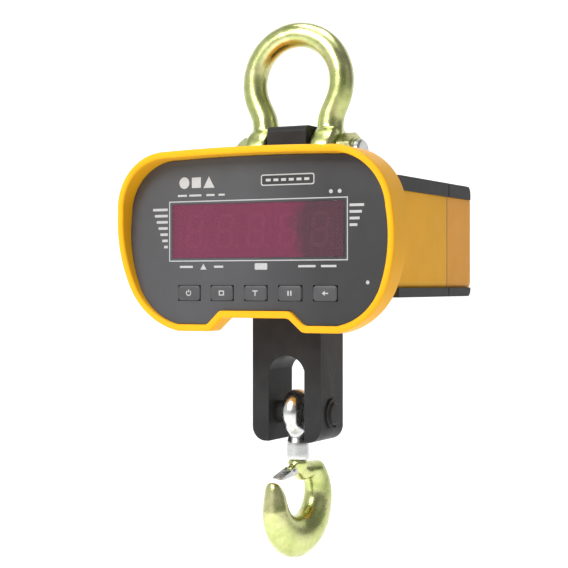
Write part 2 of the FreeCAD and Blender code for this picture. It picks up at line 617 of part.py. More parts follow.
def make_latch():
    """A bent strip: two cheeks on the pin and a flap that reaches to the tip."""
    strip = SIZE["latch_strip"]
    cheek_r = SIZE["latch_pin_dia"] / 2 + strip
    cheek_long = SIZE["latch_long"] * 0.6
    near = SIZE["latch_lug"] / 2 + SIZE["gap"]
    pieces = []
    for side in (-1, 1):
        start = Vector(near if side > 0 else -near - strip, 0, 0)
        disc = Part.makeCylinder(cheek_r, strip, start, Vector(1, 0, 0))
        cheek = Part.makeBox(strip, cheek_long, 2 * cheek_r, start + Vector(0, -cheek_long, -cheek_r))
        pieces += [disc, cheek]
    half = near + strip
    flap = Part.makeBox(2 * half, SIZE["latch_long"] - cheek_r - strip, strip,
                        Vector(-half, -SIZE["latch_long"], cheek_r - strip))
    whole = pieces[0].fuse(pieces[1:] + [flap]).removeSplitter()
    bore = Part.makeCylinder(SIZE["latch_pin_dia"] / 2 + SIZE["fit"], 4 * half, Vector(-2 * half, 0, 0),
                             Vector(1, 0, 0))
    whole = whole.cut(bore)
    whole.rotate(Vector(), Vector(1, 0, 0), SIZE["latch_slope"])
    whole.translate(Vector(0, -SIZE["latch_ahead"], number(LATCH_Z)))
    whole.rotate(Vector(), Vector(0, 0, 1), SIZE["hook_turn"])
    return whole


keep("safety_latch", shaped("safety_latch", make_latch()))

# ---------------------------------------------------------------- housing
HALF_X = "body_wide / 2"
HALF_Z = "body_high / 2"
WELL_FLOOR = "(-pin_drop - ear_dia / 2 - well_gap)"
WELL_HALF = "(ear_dia / 2 + well_side)"
MID_FRONT = "(-front_joint + gasket)"
MID_REAR = "(rear_joint - gasket)"
CORNERS = [(x_sign, z_sign) for x_sign in "-+" for z_sign in "-+"]
SCREW_X = f"({HALF_X} - screw_inset)"
SCREW_Z = f"({HALF_Z} - screw_inset)"


def long_edges(at, edge):
    return runs_along(edge, "y")


def shell(name, inset, y, radius):
    """A block with rounded long edges, a distance inside the housing's outer faces."""
    block = box(name + "_block", about(f"body_wide - 2 * ({inset})"), y,
                about(f"body_high - 2 * ({inset})", FACE))
    return rounded(name, block, radius, long_edges)


def tray(name, inset, y, radius, back_radius):
    """The same, with its back edges rounded as well."""
    block = shell(name + "_sides", inset, y, radius)
    back = number(y[1])
    return rounded(name, block, back_radius, lambda at, edge: abs(at.y - back) < 1e-3)


mid_outer = shell("mid_outer", "0", (MID_FRONT, MID_REAR), "body_round")
hump_half = "hump_wide / 2"
hump_sketch = outline("hump_outline", "XZ", [
    (f"-{hump_half} - shoulder_run", f"{BODY_TOP} - 1", None),
    (f"{hump_half} + shoulder_run", f"{BODY_TOP} - 1", None),
    (f"{hump_half} + shoulder_run", BODY_TOP, None),
    (f"{hump_half} + shoulder_lean", f"{BODY_TOP} + shoulder_rise", None),
    (hump_half, f"{BODY_TOP} + hump_rise", None),
    (f"-{hump_half}", f"{BODY_TOP} + hump_rise", None),
    (f"-{hump_half} - shoulder_lean", f"{BODY_TOP} + shoulder_rise", None),
    (f"-{hump_half} - shoulder_run", BODY_TOP, None),
], y=f"{WELL_HALF} + hump_wall")
hump = extrude("hump", hump_sketch, Vector(0, -1, 0), f"2 * ({WELL_HALF} + hump_wall)")
room = shell("mid_room", "wall", (f"{MID_FRONT} - 1", f"{MID_REAR} + 1"), "body_round - wall")
well_shell = box("well_shell", about("well_long + 2 * wall"), about(f"2 * ({WELL_HALF} + wall)"),
                 (f"{WELL_FLOOR} - wall", "0"))
room_around_well = cut("mid_room_around_well", room, well_shell)
well = box("well", about("well_long"), about(f"2 * {WELL_HALF}"), (WELL_FLOOR, "0"))
passage = box("cell_passage", about("cell_wide + 2 * seal_gap"), about("cell_deep + 2 * seal_gap"),
              (f"{BODY_BOTTOM} - 5", "0"))
mid_shell = cut("mid_shell", fuse("mid_blank", mid_outer, hump), room_around_well, well, passage)


def corner_bosses(name, y, radius):
    """Pillars for the housing screws, each tied to the side wall by a rib."""
    pieces = []
    for index, (x_sign, z_sign) in enumerate(CORNERS):
        at_x = f"{x_sign} {SCREW_X}"
        at_z = f"{FACE} {z_sign} {SCREW_Z}"
        pieces.append(rod(f"{name}_{index}", "y", radius, y, x=at_x, z=at_z))
        wall_x = f"{x_sign} ({HALF_X} - wall / 2)"
        ends = (at_x, wall_x) if x_sign == "+" else (wall_x, at_x)
        pieces.append(box(f"{name}_rib_{index}", ends, y, about("wall", at_z)))
    return pieces


def corner_rods(name, radius, y):
    return [
        rod(f"{name}_{index}", "y", radius, y, x=f"{x_sign} {SCREW_X}", z=f"{FACE} {z_sign} {SCREW_Z}")
        for index, (x_sign, z_sign) in enumerate(CORNERS)
    ]


FLOOR = f"({BODY_BOTTOM} + wall)"
BRACKET_Y = "(cell_deep / 2 - bracket_hole_in)"
BRACKET_X = "(cell_wide / 2 + seal_gap)"
BRACKET_TOP = f"({GAUGE} - {COVER_HIGH} / 2 - bracket_gap)"
BRACKET_Z = f"(({FLOOR} + {BRACKET_TOP}) / 2)"
SIDES = (("left", "-"), ("right", "+"))
ENDS = (("front", "-"), ("rear", "+"))


mid_bosses = corner_bosses("mid_boss", (MID_FRONT, MID_REAR), "screw_boss")
mid_with_bosses = fuse("mid_with_bosses", mid_shell, *mid_bosses)
mid_holes = corner_rods("mid_screw_hole", "screw_dia / 2", (f"{MID_FRONT} - 1", f"{MID_REAR} + 1"))
floor_holes = [
    rod(f"floor_hole_{x_name}_{y_name}", "z", "screw_dia / 2", (f"{BODY_BOTTOM} + 1", f"{FLOOR} + 4"),
        x=f"{x_sign} ({BRACKET_X} + bracket_hole_out)", y=f"{y_sign} {BRACKET_Y}")
    for x_name, x_sign in SIDES for y_name, y_sign in ENDS
]
keep("mid_housing", cut("mid_housing_drilled", mid_with_bosses, *mid_holes, *floor_holes))


def gasket_ring(name, y):
    outer = shell(name + "_outer", "0", y, "body_round")
    inner = shell(name + "_inner", "wall", y, "body_round - wall")
    holes = corner_rods(name + "_hole", "screw_dia / 2 + gap", y)
    return keep(name, cut(name + "_ring", outer, inner, *holes))


gasket_ring("front_gasket", ("-front_joint", MID_FRONT))
gasket_ring("rear_gasket", (MID_REAR, "rear_joint"))


def cell_seal(name, z):
    outer = box(name + "_outer", about("cell_wide + 2 * seal_gap"), about("cell_deep + 2 * seal_gap"), z)
    inner = box(name + "_inner", about("cell_wide"), about("cell_deep"), (f"{z[0]} - 1", f"{z[1]} + 1"))
    return keep(name, cut(name + "_ring", outer, inner))


cell_seal("top_seal", (f"{WELL_FLOOR} - wall", f"{WELL_FLOOR} + seal_proud"))
cell_seal("bottom_seal", (f"{BODY_BOTTOM} - seal_proud", FLOOR))

# rear cover with the battery door's opening, hinge knuckles and the charging socket's hole
DOOR = "(-face_drop + door_rise)"
DOOR_FOOT = f"({DOOR} - door_high / 2)"
HINGE_Y = f"({REAR} + knuckle_dia / 2 + gap)"
HINGE_Z = f"({DOOR_FOOT} - knuckle_dia / 2 - 2 * gap)"
SOCKET_X = "(body_wide / 2 - socket_in)"
SOCKET_Z = "(-face_drop - socket_drop)"
CAP_X = f"({SOCKET_X} - cap_reach)"
CAP_Y = f"({REAR} + cap_stand)"
KNOB_Z = f"({DOOR} + door_high / 2 - door_lap / 2)"

cover_outer = tray("cover_outer", "0", ("rear_joint", REAR), "body_round", "cover_round")
cover_room = tray("cover_room", "wall", ("rear_joint - 1", f"{REAR} - wall"), "body_round - wall",
                  "cover_round - wall")
cover_shell = cut("cover_shell", cover_outer, cover_room)
cover_bosses = [
    common(f"cover_boss_{index}", boss, cover_outer)
    for index, boss in enumerate(corner_bosses("cover_pillar", ("rear_joint", f"{REAR} - 1"), "screw_boss"))
]
KNUCKLE_NEAR = "door_wide * 0.26"
KNUCKLE_FAR = "door_wide * 0.42"
KNUCKLES = (("left", f"-{KNUCKLE_FAR}", f"-{KNUCKLE_NEAR}"), ("right", KNUCKLE_NEAR, KNUCKLE_FAR))
knuckles = []
for name, low, high in KNUCKLES:
    knuckles.append(rod(f"cover_knuckle_{name}", "x", "knuckle_dia / 2", (low, high), y=HINGE_Y, z=HINGE_Z))
    knuckles.append(box(f"cover_knuckle_web_{name}", (low, high), (f"{REAR} - 1", HINGE_Y),
                        about("knuckle_dia", HINGE_Z)))
cap_ears = []
EAR_NEAR = "(cap_knuckle / 2 + gap)"
EAR_FAR = "(cap_hinge_long / 2)"
for name, low, high in (("low", f"-{EAR_FAR}", f"-{EAR_NEAR}"), ("high", EAR_NEAR, EAR_FAR)):
    ends = (f"{SOCKET_Z} + {low}", f"{SOCKET_Z} + {high}")
    cap_ears.append(rod(f"cap_ear_{name}", "z", "cap_knuckle_dia / 2", ends, x=CAP_X, y=CAP_Y))
    cap_ears.append(box(f"cap_ear_web_{name}", about("cap_knuckle_dia", CAP_X), (f"{REAR} - 1", CAP_Y), ends))
cover_blank = fuse("cover_blank", cover_shell, *cover_bosses, *knuckles, *cap_ears)
door_hole = box("door_hole", about("door_wide - 2 * door_lap"), (f"{REAR} - 2 * wall", f"{REAR} + 1"),
                about("door_high - 2 * door_lap", DOOR))
knob_hole = rod("knob_hole", "y", "screw_dia / 2 + 3 * gap",
                (f"{REAR} - 2 * wall", f"{REAR} + 1"), z=KNOB_Z)
hinge_hole = rod("hinge_hole", "x", "door_pin_dia / 2", ("-door_wide", "door_wide"), y=HINGE_Y, z=HINGE_Z)
cap_pin_hole = rod("cap_pin_hole", "z", "cap_pin_dia / 2", about("cap_hinge_long * 1.5", SOCKET_Z),
                   x=CAP_X, y=CAP_Y)
socket_hole = rod("socket_hole", "y", "socket_dia / 2", (f"{REAR} - 2 * wall", f"{REAR} + 1"),
                  x=SOCKET_X, z=SOCKET_Z)
cover_holes = corner_rods("cover_screw_hole", "screw_dia / 2 + gap", ("rear_joint - 1", f"{REAR} + 1"))
cover_seats = corner_rods("cover_screw_seat", "screw_dia", (f"{REAR} - 2 * screw_dia", f"{REAR} + 1"))
keep("rear_cover", cut("rear_cover_cut", cover_blank, door_hole, knob_hole, hinge_hole, cap_pin_hole,
                       socket_hole, *cover_holes, *cover_seats))

# ---------------------------------------------------------------- display surround
FACE_HALF = "face_wide / 2"


def surround(name, inset, y):
    """The surround's outline, a distance inside its outer edge."""
    top = f"{FACE} + face_top - ({inset})"
    foot = f"{FACE} - face_bottom + ({inset})"
    crown_x = f"({FACE_HALF} - crown_in)"
    crown_z = f"{top} - 1"
    side_x = f"({FACE_HALF} - 1 - ({inset}))"
    side_z = f"{FACE} + face_top - crown_down"
    low_x = f"({FACE_HALF} - side_taper - ({inset}))"
    low_z = f"{FACE} - face_bottom + side_low + ({inset}) * 0.25"
    lobe_x = f"({FACE_HALF} - lobe_in)"
    ramp_x = f"(notch_wide / 2 + notch_run + ({inset}) * 0.4)"
    notch_x = f"(notch_wide / 2 + ({inset}) * 0.4)"
    corner_arc = f"sqrt(({side_x} - {crown_x}) ^ 2 + (({side_z}) - ({crown_z})) ^ 2) * 0.695"
    side_arc = f"sqrt(({side_x} - {low_x}) ^ 2 + (({side_z}) - ({low_z})) ^ 2) * 1.9"
    low_arc = f"sqrt(({low_x} - {lobe_x}) ^ 2 + (({low_z}) - ({foot})) ^ 2) * 1.1"
    return outline(name, "XZ", [
        (f"-{notch_x}", f"{foot} + notch_rise", None),
        (notch_x, f"{foot} + notch_rise", None),
        (ramp_x, foot, None),
        (lobe_x, foot, low_arc),
        (low_x, low_z, side_arc),
        (side_x, side_z, corner_arc),
        (crown_x, crown_z, f"{crown_x} * 24"),
        (f"-{crown_x}", crown_z, corner_arc),
        (f"-{side_x}", side_z, side_arc),
        (f"-{low_x}", low_z, low_arc),
        (f"-{lobe_x}", foot, None),
        (f"-{ramp_x}", foot, None),
    ], y=y)


def slab(name, inset, y):
    """A plate with the surround's outline, between two places along Y."""
    return extrude(name, surround(name + "_outline", inset, y[1]), Vector(0, -1, 0), f"({y[1]}) - ({y[0]})")


FRONT_BACK = "(-front_joint)"
PLATE_FRONT = "(-front_joint - wall)"
PANEL_BACK = "(-panel_front + panel_thick)"
surround_outer = slab("surround_outer", "0", ("-panel_front - visor - 2", FRONT_BACK))
panel_recess = slab("panel_recess", "rim", ("-panel_front - visor - 3", PANEL_BACK))
board_recess = slab("board_recess", "rim + ledge", ("-panel_front", PLATE_FRONT))
lean_sketch = outline("surround_lean", "YZ", [
    ("-panel_front - visor", f"{FACE} + face_top + 1", None),
    ("-panel_front - 60", f"{FACE} + face_top + 1", None),
    ("-panel_front - 60", f"{FACE} - face_bottom - 1", None),
    ("-panel_front - sill", f"{FACE} - face_bottom - 1", None),
], x="-face_wide")
lean = extrude("surround_lean_cut", lean_sketch, Vector(1, 0, 0), "face_wide * 2")
wire_window = box("wire_window", about("cell_wide * 2.4"), (f"{PLATE_FRONT} - 1", "0"),
                  about("wire_high", FACE))
front_holes = corner_rods("front_screw_hole", "screw_dia / 2 + gap", (f"{PLATE_FRONT} - 1", "0"))
keep("front_housing", cut("front_housing_cut", surround_outer, panel_recess, board_recess, lean,
                          wire_window, *front_holes))

WINDOW = "(-face_drop + window_rise)"
KEY_ROW = "(-face_drop - key_drop)"
KEYS = [("power", -2), ("zero", -1), ("tare", 0), ("hold", 1), ("enter", 2)]
panel_blank = slab("panel_blank", "rim + gap", ("-panel_front", PANEL_BACK))
window_hole = box("window_hole", about("window_wide"), ("-panel_front - 1", "0"),
                  about("window_high", WINDOW))
key_holes = [
    box(f"key_hole_{name}", about("key_wide + 2 * gap", f"key_pitch * {step}"), ("-panel_front - 1", "0"),
        about("key_high + 2 * gap", KEY_ROW))
    for name, step in KEYS
]
keep("front_panel", cut("front_panel_cut", panel_blank, window_hole, *key_holes))
keep("display_window", box("display_window", about("window_wide - gap"), ("-panel_front", PANEL_BACK),
                           about("window_high - gap", WINDOW)))

FLANGE_FRONT = f"({PANEL_BACK} + 0.2)"
STEM_END = f"({FLANGE_FRONT} + 2)"
for name, step in KEYS:
    body = doc.addObject("PartDesign::Body", f"key_{name}")
    at = f"key_pitch * {step}"
    pads = (
        ("cap", "key_wide / 2", "key_high / 2", "-panel_front - key_proud", FLANGE_FRONT),
        ("flange", "key_wide / 2 + key_flange", "key_high / 2 + key_flange", FLANGE_FRONT,
         f"{FLANGE_FRONT} + 1"),
        ("stem", "key_high / 4", "key_high / 4", f"{FLANGE_FRONT} + 1", STEM_END),
    )
    for part_name, half_x, half_z, front, back in pads:
        sketch = outline(f"key_{name}_{part_name}", "XZ", [
            (f"{at} - ({half_x})", f"{KEY_ROW} - ({half_z})", None),
            (f"{at} + {half_x}", f"{KEY_ROW} - ({half_z})", None),
            (f"{at} + {half_x}", f"{KEY_ROW} + {half_z}", None),
            (f"{at} - ({half_x})", f"{KEY_ROW} + {half_z}", None),
        ], y=back, body=body)
        pad = body.newObject("PartDesign::Pad", f"key_{name}_{part_name}_pad")
        pad.Profile = sketch
        bind(pad, "Length", f"({back}) - ({front})")
        sketch.Visibility = False
    doc.recompute()
    keep(f"key_{name}", body)

# ---------------------------------------------------------------- electronics behind the panel
SWITCH_FRONT = f"({STEM_END} + key_travel + 0.1)"
KEYBOARD_FRONT = f"({PLATE_FRONT} - board_gap)"
switches = [
    box(f"switch_{name}", about("switch_wide", f"key_pitch * {step}"), (SWITCH_FRONT, KEYBOARD_FRONT),
        about("switch_wide", KEY_ROW))
    for name, step in KEYS
]
keep("key_switches", group("key_switch_row", switches))
board_ends = (KEYBOARD_FRONT, f"{KEYBOARD_FRONT} + board_thick")
keep("keypad_board", box("keypad_board", about("key_pitch * 5"), board_ends, about("key_high + 2", KEY_ROW)))
keep("display_board", box("display_board", about("window_wide + board_spare"), board_ends,
                          about("window_high + 5", WINDOW)))
digit_pitch = "window_wide / 5.4"
digits = [
    box(f"digit_{index}", about(f"{digit_pitch} - 2", f"{digit_pitch} * {index - 2}"),
        (f"{PANEL_BACK} + 0.8", KEYBOARD_FRONT), about("window_high - 8", WINDOW))
    for index in range(5)
]
keep("display_digits", group("display_digit_row", digits))
posts = []
for board, high, centre, wide in (("keypad", "key_high + 2", KEY_ROW, "key_pitch * 5"),
                                  ("display", "window_high + 5", WINDOW, "window_wide + board_spare")):
    for index, (x_sign, z_sign) in enumerate(CORNERS):
        posts.append(rod(f"{board}_post_{index}", "y", "post_dia / 2",
                         (f"{KEYBOARD_FRONT} + board_thick", PLATE_FRONT),
                         x=f"{x_sign} (({wide}) / 2 - 4)", z=f"{centre} {z_sign} (({high}) / 2 - 4)"))

BOARD_LEFT = "(-body_wide / 2 + board_edge)"
BOARD_RIGHT = "(-cell_wide / 2 - 7)"
BOARD_FRONT = f"({FRONT_BACK} + post_high)"
board_y = (BOARD_FRONT, f"{BOARD_FRONT} + board_thick")
main_plate = box("main_board_plate", (BOARD_LEFT, BOARD_RIGHT), board_y, about("body_high - 36", FACE))
socket = box("main_board_socket", (f"{BOARD_RIGHT} - 14", f"{BOARD_RIGHT} - 4"),
             (f"{BOARD_FRONT} + board_thick", f"{BOARD_FRONT} + 14"), about("9", GAUGE))
battery_plug = box("main_board_battery_plug", (f"{BOARD_LEFT} + 14", f"{BOARD_LEFT} + 26"),
                   (f"{BOARD_FRONT} + board_thick", f"{BOARD_FRONT} + 9"), about("8", FACE))
keep("main_board", fuse("main_board_whole", main_plate, socket, battery_plug))
for x_at, side in ((f"{BOARD_LEFT} + 4", "left"), (f"{BOARD_RIGHT} - 4", "right")):
    for z_sign in "-+":
        posts.append(rod(f"main_post_{side}_{z_sign == '+'}", "y", "post_dia / 2", (FRONT_BACK, BOARD_FRONT),
                         x=x_at, z=f"{FACE} {z_sign} (body_high / 2 - 22)"))
keep("board_standoffs", group("board_standoff_set", posts))


def tube(name, points, diameter):
    """A cable: straight runs joined by arcs as wide as the runs allow."""
    edges = []
    start = points[0]
    for before, corner, after in zip(points, points[1:], points[2:]):
        shorter = min((corner - before).Length, (after - corner).Length)
        reach = 0.45 * shorter
        back = (before - corner).normalize()
        on = (after - corner).normalize()
        first = corner + back * reach
        last = corner + on * reach
        half = back.getAngle(on) / 2
        radius = reach * math.tan(half)
        inwards = (back + on).normalize()
        middle = corner + inwards * (radius / math.sin(half) - radius)
        print(f"{name}: bend radius {radius:.1f} mm")
        edges.append(Part.LineSegment(start, first).toShape())
        edges.append(Part.Arc(first, middle, last).toShape())
        start = last
    edges.append(Part.LineSegment(start, points[-1]).toShape())
    path = Part.Wire(edges)
    section = Part.Wire(Part.Circle(points[0], points[1] - points[0], diameter / 2).toShape())
    solid = path.makePipeShell([section], True, False)
    share = solid.Volume / (path.Length * math.pi * diameter ** 2 / 4)
    assert abs(share - 1) < 0.01, f"{name} has the wrong volume: {share:.3f}"
    return solid


gauge_z = number(GAUGE)
cell_front = -SIZE["cell_deep"] / 2
gland = rod("cell_gland_body", "y", "cable_dia * 1.6", ("-cell_deep / 2 - 6", "-cell_deep / 2"), z=GAUGE)
gland_bore = rod("cell_gland_bore", "y", "cable_dia / 2", ("-cell_deep", "0"), z=GAUGE)
keep("cell_gland", cut("cell_gland_bored", gland, gland_bore))
socket_face = number(f"{BOARD_RIGHT} - 4")
socket_y = number(f"{BOARD_FRONT} + 8")
cell_route = [
    Vector(0, cell_front + 4, gauge_z),
    Vector(0, socket_y, gauge_z),
    Vector(socket_face, socket_y, gauge_z),
]
keep("cell_cable", shaped("cell_cable", tube("cell_cable", cell_route, SIZE["cable_dia"])))

# ---------------------------------------------------------------- battery, cradle and leads
BATTERY_FRONT = "(cell_deep / 2 + 11)"
battery_y = (BATTERY_FRONT, f"{BATTERY_FRONT} + battery_deep")
battery_z = about("battery_high", DOOR)
keep("battery", rounded("battery_rounded", box("battery_block", about("battery_wide"), battery_y, battery_z),
                        "2", lambda at, edge: runs_along(edge, "y")))
cradle_outer = box("cradle_outer", about("battery_wide + 4 * gap + 3"),
                   (f"{BATTERY_FRONT} - 1.8", "rear_joint - gasket - 2"),
                   (FLOOR, f"{DOOR} + battery_high / 2"))
cradle_inner = box("cradle_inner", about("battery_wide + 4 * gap"),
                   (f"{BATTERY_FRONT} - gap", "rear_joint * 2"), (f"{DOOR} - battery_high / 2 - gap", "0"))
lead_slot = box("cradle_lead_slot", ("-battery_wide / 2 + 2", "-battery_wide / 2 + 14"),
                (f"{BATTERY_FRONT} - 5", f"{BATTERY_FRONT} + 5"), about("14", FACE))
cradle_hollow = box("cradle_hollow", about("battery_wide"), (f"{BATTERY_FRONT} + 2", "rear_joint * 2"),
                    (f"{FLOOR} + 2", f"{DOOR} - battery_high / 2 - gap - 2"))
keep("battery_cradle", cut("battery_cradle_cut", cradle_outer, cradle_inner, lead_slot, cradle_hollow))

battery_front = number(BATTERY_FRONT)
plug_y = number(f"{BOARD_FRONT} + 9")
plug_x = number(f"{BOARD_LEFT} + 20")
leads = []
for index, height in enumerate((-2, 2)):
    lead_z = number(FACE) + height
    start_x = -SIZE["battery_wide"] / 2 + 8
    leads.append(shaped(f"battery_lead_{index}", tube(f"battery_lead_{index}", [
        Vector(start_x, battery_front, lead_z),
        Vector(start_x, battery_front - 24, lead_z),
        Vector(plug_x, plug_y + 24, lead_z),
        Vector(plug_x, plug_y, lead_z),
    ], 2)))
keep("battery_leads", group("battery_lead_pair", leads))

# ---------------------------------------------------------------- battery door, thumb screw, charging socket
DOOR_BACK = f"({REAR} + gap)"
door_plate = box("door_plate", about("door_wide"), (DOOR_BACK, f"{DOOR_BACK} + door_thick"),
                 about("door_high", DOOR))
door_plate = rounded("door_rounded", door_plate, "door_thick * 1.3",
                     lambda at, edge: runs_along(edge, "y") and at.z > number(DOOR))
KNUCKLE_HALF = f"({KNUCKLE_NEAR} - gap)"
door_knuckle = rod("door_knuckle", "x", "knuckle_dia / 2", (f"-{KNUCKLE_HALF}", KNUCKLE_HALF),
                   y=HINGE_Y, z=HINGE_Z)
door_web = box("door_web", (f"-{KNUCKLE_HALF}", KNUCKLE_HALF), (DOOR_BACK, f"{DOOR_BACK} + door_thick"),
               (HINGE_Z, f"{DOOR_FOOT} + 1"))
door_pin_bore = rod("door_pin_bore", "x", "door_pin_dia / 2 + fit", ("-door_wide", "door_wide"),
                    y=HINGE_Y, z=HINGE_Z)
door_knob_bore = rod("door_knob_bore", "y", "screw_dia / 2 + fit", (REAR, f"{REAR} + 20"), z=KNOB_Z)
keep("battery_door", cut("battery_door_cut", fuse("battery_door_blank", door_plate, door_knuckle, door_web),
                         door_pin_bore, door_knob_bore))
keep("door_hinge_pin", rod("door_hinge_pin", "x", "door_pin_dia / 2", (f"-{KNUCKLE_FAR}", KNUCKLE_FAR),
                           y=HINGE_Y, z=HINGE_Z))
KNOB_BACK = f"({DOOR_BACK} + door_thick + 0.1)"
KNOB_SEAT = f"({KNOB_BACK} + knob_high / 2)"
knob_head = rod("knob_head", "y", "knob_dia / 2", (KNOB_BACK, f"{KNOB_BACK} + knob_high"), z=KNOB_Z)
knob_head = rounded("knob_head_rounded", knob_head, "1", lambda at, edge: at.y > number(KNOB_SEAT))
knob_bore = rod("knob_bore", "y", "screw_dia / 2", (REAR, KNOB_SEAT), z=KNOB_Z)
keep("door_screw", cut("door_screw_bored", knob_head, knob_bore))
keep("door_stud", rod("door_stud", "y", "screw_dia / 2", (f"{REAR} - screw_dia", KNOB_SEAT), z=KNOB_Z))

socket_barrel = rod("socket_barrel", "y", "socket_dia / 2", (f"{REAR} - wall - 9", f"{REAR} + socket_lip"),
                    x=SOCKET_X, z=SOCKET_Z)
socket_well = rod("socket_well", "y", "socket_dia / 2 - 3", (f"{REAR} - 8", f"{REAR} + 3"),
                  x=SOCKET_X, z=SOCKET_Z)
socket_nut = hexagon("socket_nut", "y", "socket_dia + 4", (f"{REAR} - wall - 3", f"{REAR} - wall"),
                     x=SOCKET_X, z=SOCKET_Z)
socket_blank = fuse("charge_socket_blank", socket_barrel, socket_nut)
keep("charge_socket", cut("charge_socket_cut", socket_blank, socket_well))
CAP_BACK = f"({REAR} + socket_lip + gap)"
cap_disc = rod("cap_disc", "y", "socket_dia / 2 + 2", (CAP_BACK, f"{CAP_BACK} + 2 * socket_lip"),
               x=SOCKET_X, z=SOCKET_Z)
cap_disc = rounded("cap_disc_rounded", cap_disc, "1",
                   lambda at, edge: at.y > number(f"{CAP_BACK} + socket_lip"))
cap_arm = box("cap_arm", (CAP_X, SOCKET_X), (CAP_BACK, f"{CAP_BACK} + 2"), about("cap_knuckle", SOCKET_Z))
cap_knuckle = rod("cap_knuckle", "z", "cap_knuckle_dia / 2", about("cap_knuckle", SOCKET_Z), x=CAP_X, y=CAP_Y)
cap_bore = rod("cap_bore", "z", "cap_pin_dia / 2 + fit", about("cap_knuckle * 3", SOCKET_Z), x=CAP_X, y=CAP_Y)
keep("socket_cap", cut("socket_cap_cut", fuse("socket_cap_blank", cap_disc, cap_arm, cap_knuckle), cap_bore))
keep("cap_hinge_pin", rod("cap_hinge_pin", "z", "cap_pin_dia / 2", about("cap_hinge_long", SOCKET_Z),
                          x=CAP_X, y=CAP_Y))

# ---------------------------------------------------------------- brackets, bumpers, antenna and screws
def mirrored(x_sign, near, far):
    """Two places along X on one side of the middle, in rising order."""
    return (f"{x_sign} ({near})", f"{x_sign} ({far})")[::1 if x_sign == "+" else -1]


brackets = []
bracket_screws = []
cell_tapped_holes = []
for x_name, x_sign in SIDES:
    leaf = box(f"bracket_leaf_{x_name}", mirrored(x_sign, "cell_wide / 2", BRACKET_X),
               about("cell_deep - 10"), (FLOOR, BRACKET_TOP))
    foot = box(f"bracket_foot_{x_name}", mirrored(x_sign, "cell_wide / 2", f"{BRACKET_X} + bracket_foot"),
               about("cell_deep - 10"), (FLOOR, f"{FLOOR} + bracket_thick"))
    inside = "cell_wide / 2 - bracket_grip"
    head_end = f"{BRACKET_X} + screw_dia * 0.75"
    floor_x = f"{x_sign} ({BRACKET_X} + bracket_hole_out)"
    floor_y = (f"{BODY_BOTTOM} + 1", f"{FLOOR} + bracket_thick + 1")
    holes = []
    for y_name, y_sign in ENDS:
        spot = f"{y_sign} {BRACKET_Y}"
        at = f"{x_name}_{y_name}"
        across = mirrored(x_sign, inside, head_end)
        holes.append(rod(f"bracket_hole_{at}", "x", "screw_dia / 2", across, y=spot, z=BRACKET_Z))
        holes.append(rod(f"bracket_floor_hole_{at}", "z", "screw_dia / 2", floor_y, x=floor_x, y=spot))
        cell_tapped_holes.append(rod(f"cell_tapped_{at}", "x", "screw_dia / 2",
                                     mirrored(x_sign, inside, "cell_wide"), y=spot, z=BRACKET_Z))
        head = rod(f"cell_screw_head_{at}", "x", "screw_dia", mirrored(x_sign, BRACKET_X, head_end),
                   y=spot, z=BRACKET_Z)
        shank = rod(f"cell_screw_shank_{at}", "x", "screw_dia / 2", across, y=spot, z=BRACKET_Z)
        bracket_screws.append(fuse(f"cell_screw_{at}", head, shank))
        head = rod(f"floor_screw_head_{at}", "z", "screw_dia",
                   (f"{FLOOR} + bracket_thick", f"{FLOOR} + bracket_thick + 2.5"), x=floor_x, y=spot)
        shank = rod(f"floor_screw_shank_{at}", "z", "screw_dia / 2", floor_y, x=floor_x, y=spot)
        bracket_screws.append(fuse(f"floor_screw_{at}", head, shank))
    brackets.append(cut(f"bracket_{x_name}", fuse(f"bracket_blank_{x_name}", leaf, foot), *holes))
keep("cell_brackets", group("cell_bracket_pair", brackets))
keep("bracket_screws", group("bracket_screw_set", bracket_screws))
keep("load_cell", cut("load_cell_tapped", cell_bored, *cell_tapped_holes))

BUMPER_STRIPS = (
    ("upper", "body_high / 2 - bumper_upper", "body_high / 2", "body_high / 2"),
    ("lower", "-body_high / 2", "-body_high / 2 + bumper_lower", "-body_high / 2"),
)


def bumpers(name, y, bed, end_round=None):
    """Rubber strips along the long edges of a housing part, which fill its rounded corners."""
    strips = []
    rear = number(y[1])
    for x_name, x_sign in SIDES:
        across = mirrored(x_sign, "body_wide / 2 - body_round", "body_wide / 2 + bumper_thick")
        for z_name, low, high, outer in BUMPER_STRIPS:
            strip_name = f"{name}_{x_name}_{z_name}"
            strip = box(strip_name, across, y, (f"{FACE} + {low}", f"{FACE} + {high}"))
            if end_round:
                corner = number(f"{FACE} + {outer}")
                strip = rounded(strip_name + "_end", strip, end_round,
                                lambda at, edge: abs(at.y - rear) < 1e-3 and abs(at.z - corner) < 1e-3)
            strips.append(strip)
    return keep(name, cut(name + "_bed", fuse(name + "_strips", *strips), bed))


bumpers("side_bumpers", (f"{MID_FRONT} + 6", f"{MID_REAR} - gap"), mid_outer)
bumpers("cover_bumpers", ("rear_joint + gap", f"{REAR} - cover_round - bumper_thick"), cover_outer,
        "bumper_round")

ANTENNA_X = "(-body_wide / 2 + antenna_in)"
ANTENNA_Y = "(rear_joint - antenna_ahead)"
ANTENNA_FOOT = f"({BODY_TOP} + antenna_nut_high)"
keep("antenna_nut", hexagon("antenna_nut_blank", "z", "antenna_dia + 3", (BODY_TOP, ANTENNA_FOOT),
                            x=ANTENNA_X, y=ANTENNA_Y))
antenna_rod = doc.addObject("Part::Cone", "antenna_rod")
bind(antenna_rod, "Radius1", "antenna_dia / 2")
bind(antenna_rod, "Radius2", "antenna_dia / 2 - 0.6")
bind(antenna_rod, "Height", "antenna_high")
place(antenna_rod, ANTENNA_X, ANTENNA_Y, ANTENNA_FOOT)
ANTENNA_MIDDLE = f"({ANTENNA_FOOT} + antenna_high / 2)"
keep("antenna", rounded("antenna_rounded", antenna_rod, "1.5",
                        lambda at, edge: at.z > number(ANTENNA_MIDDLE)))


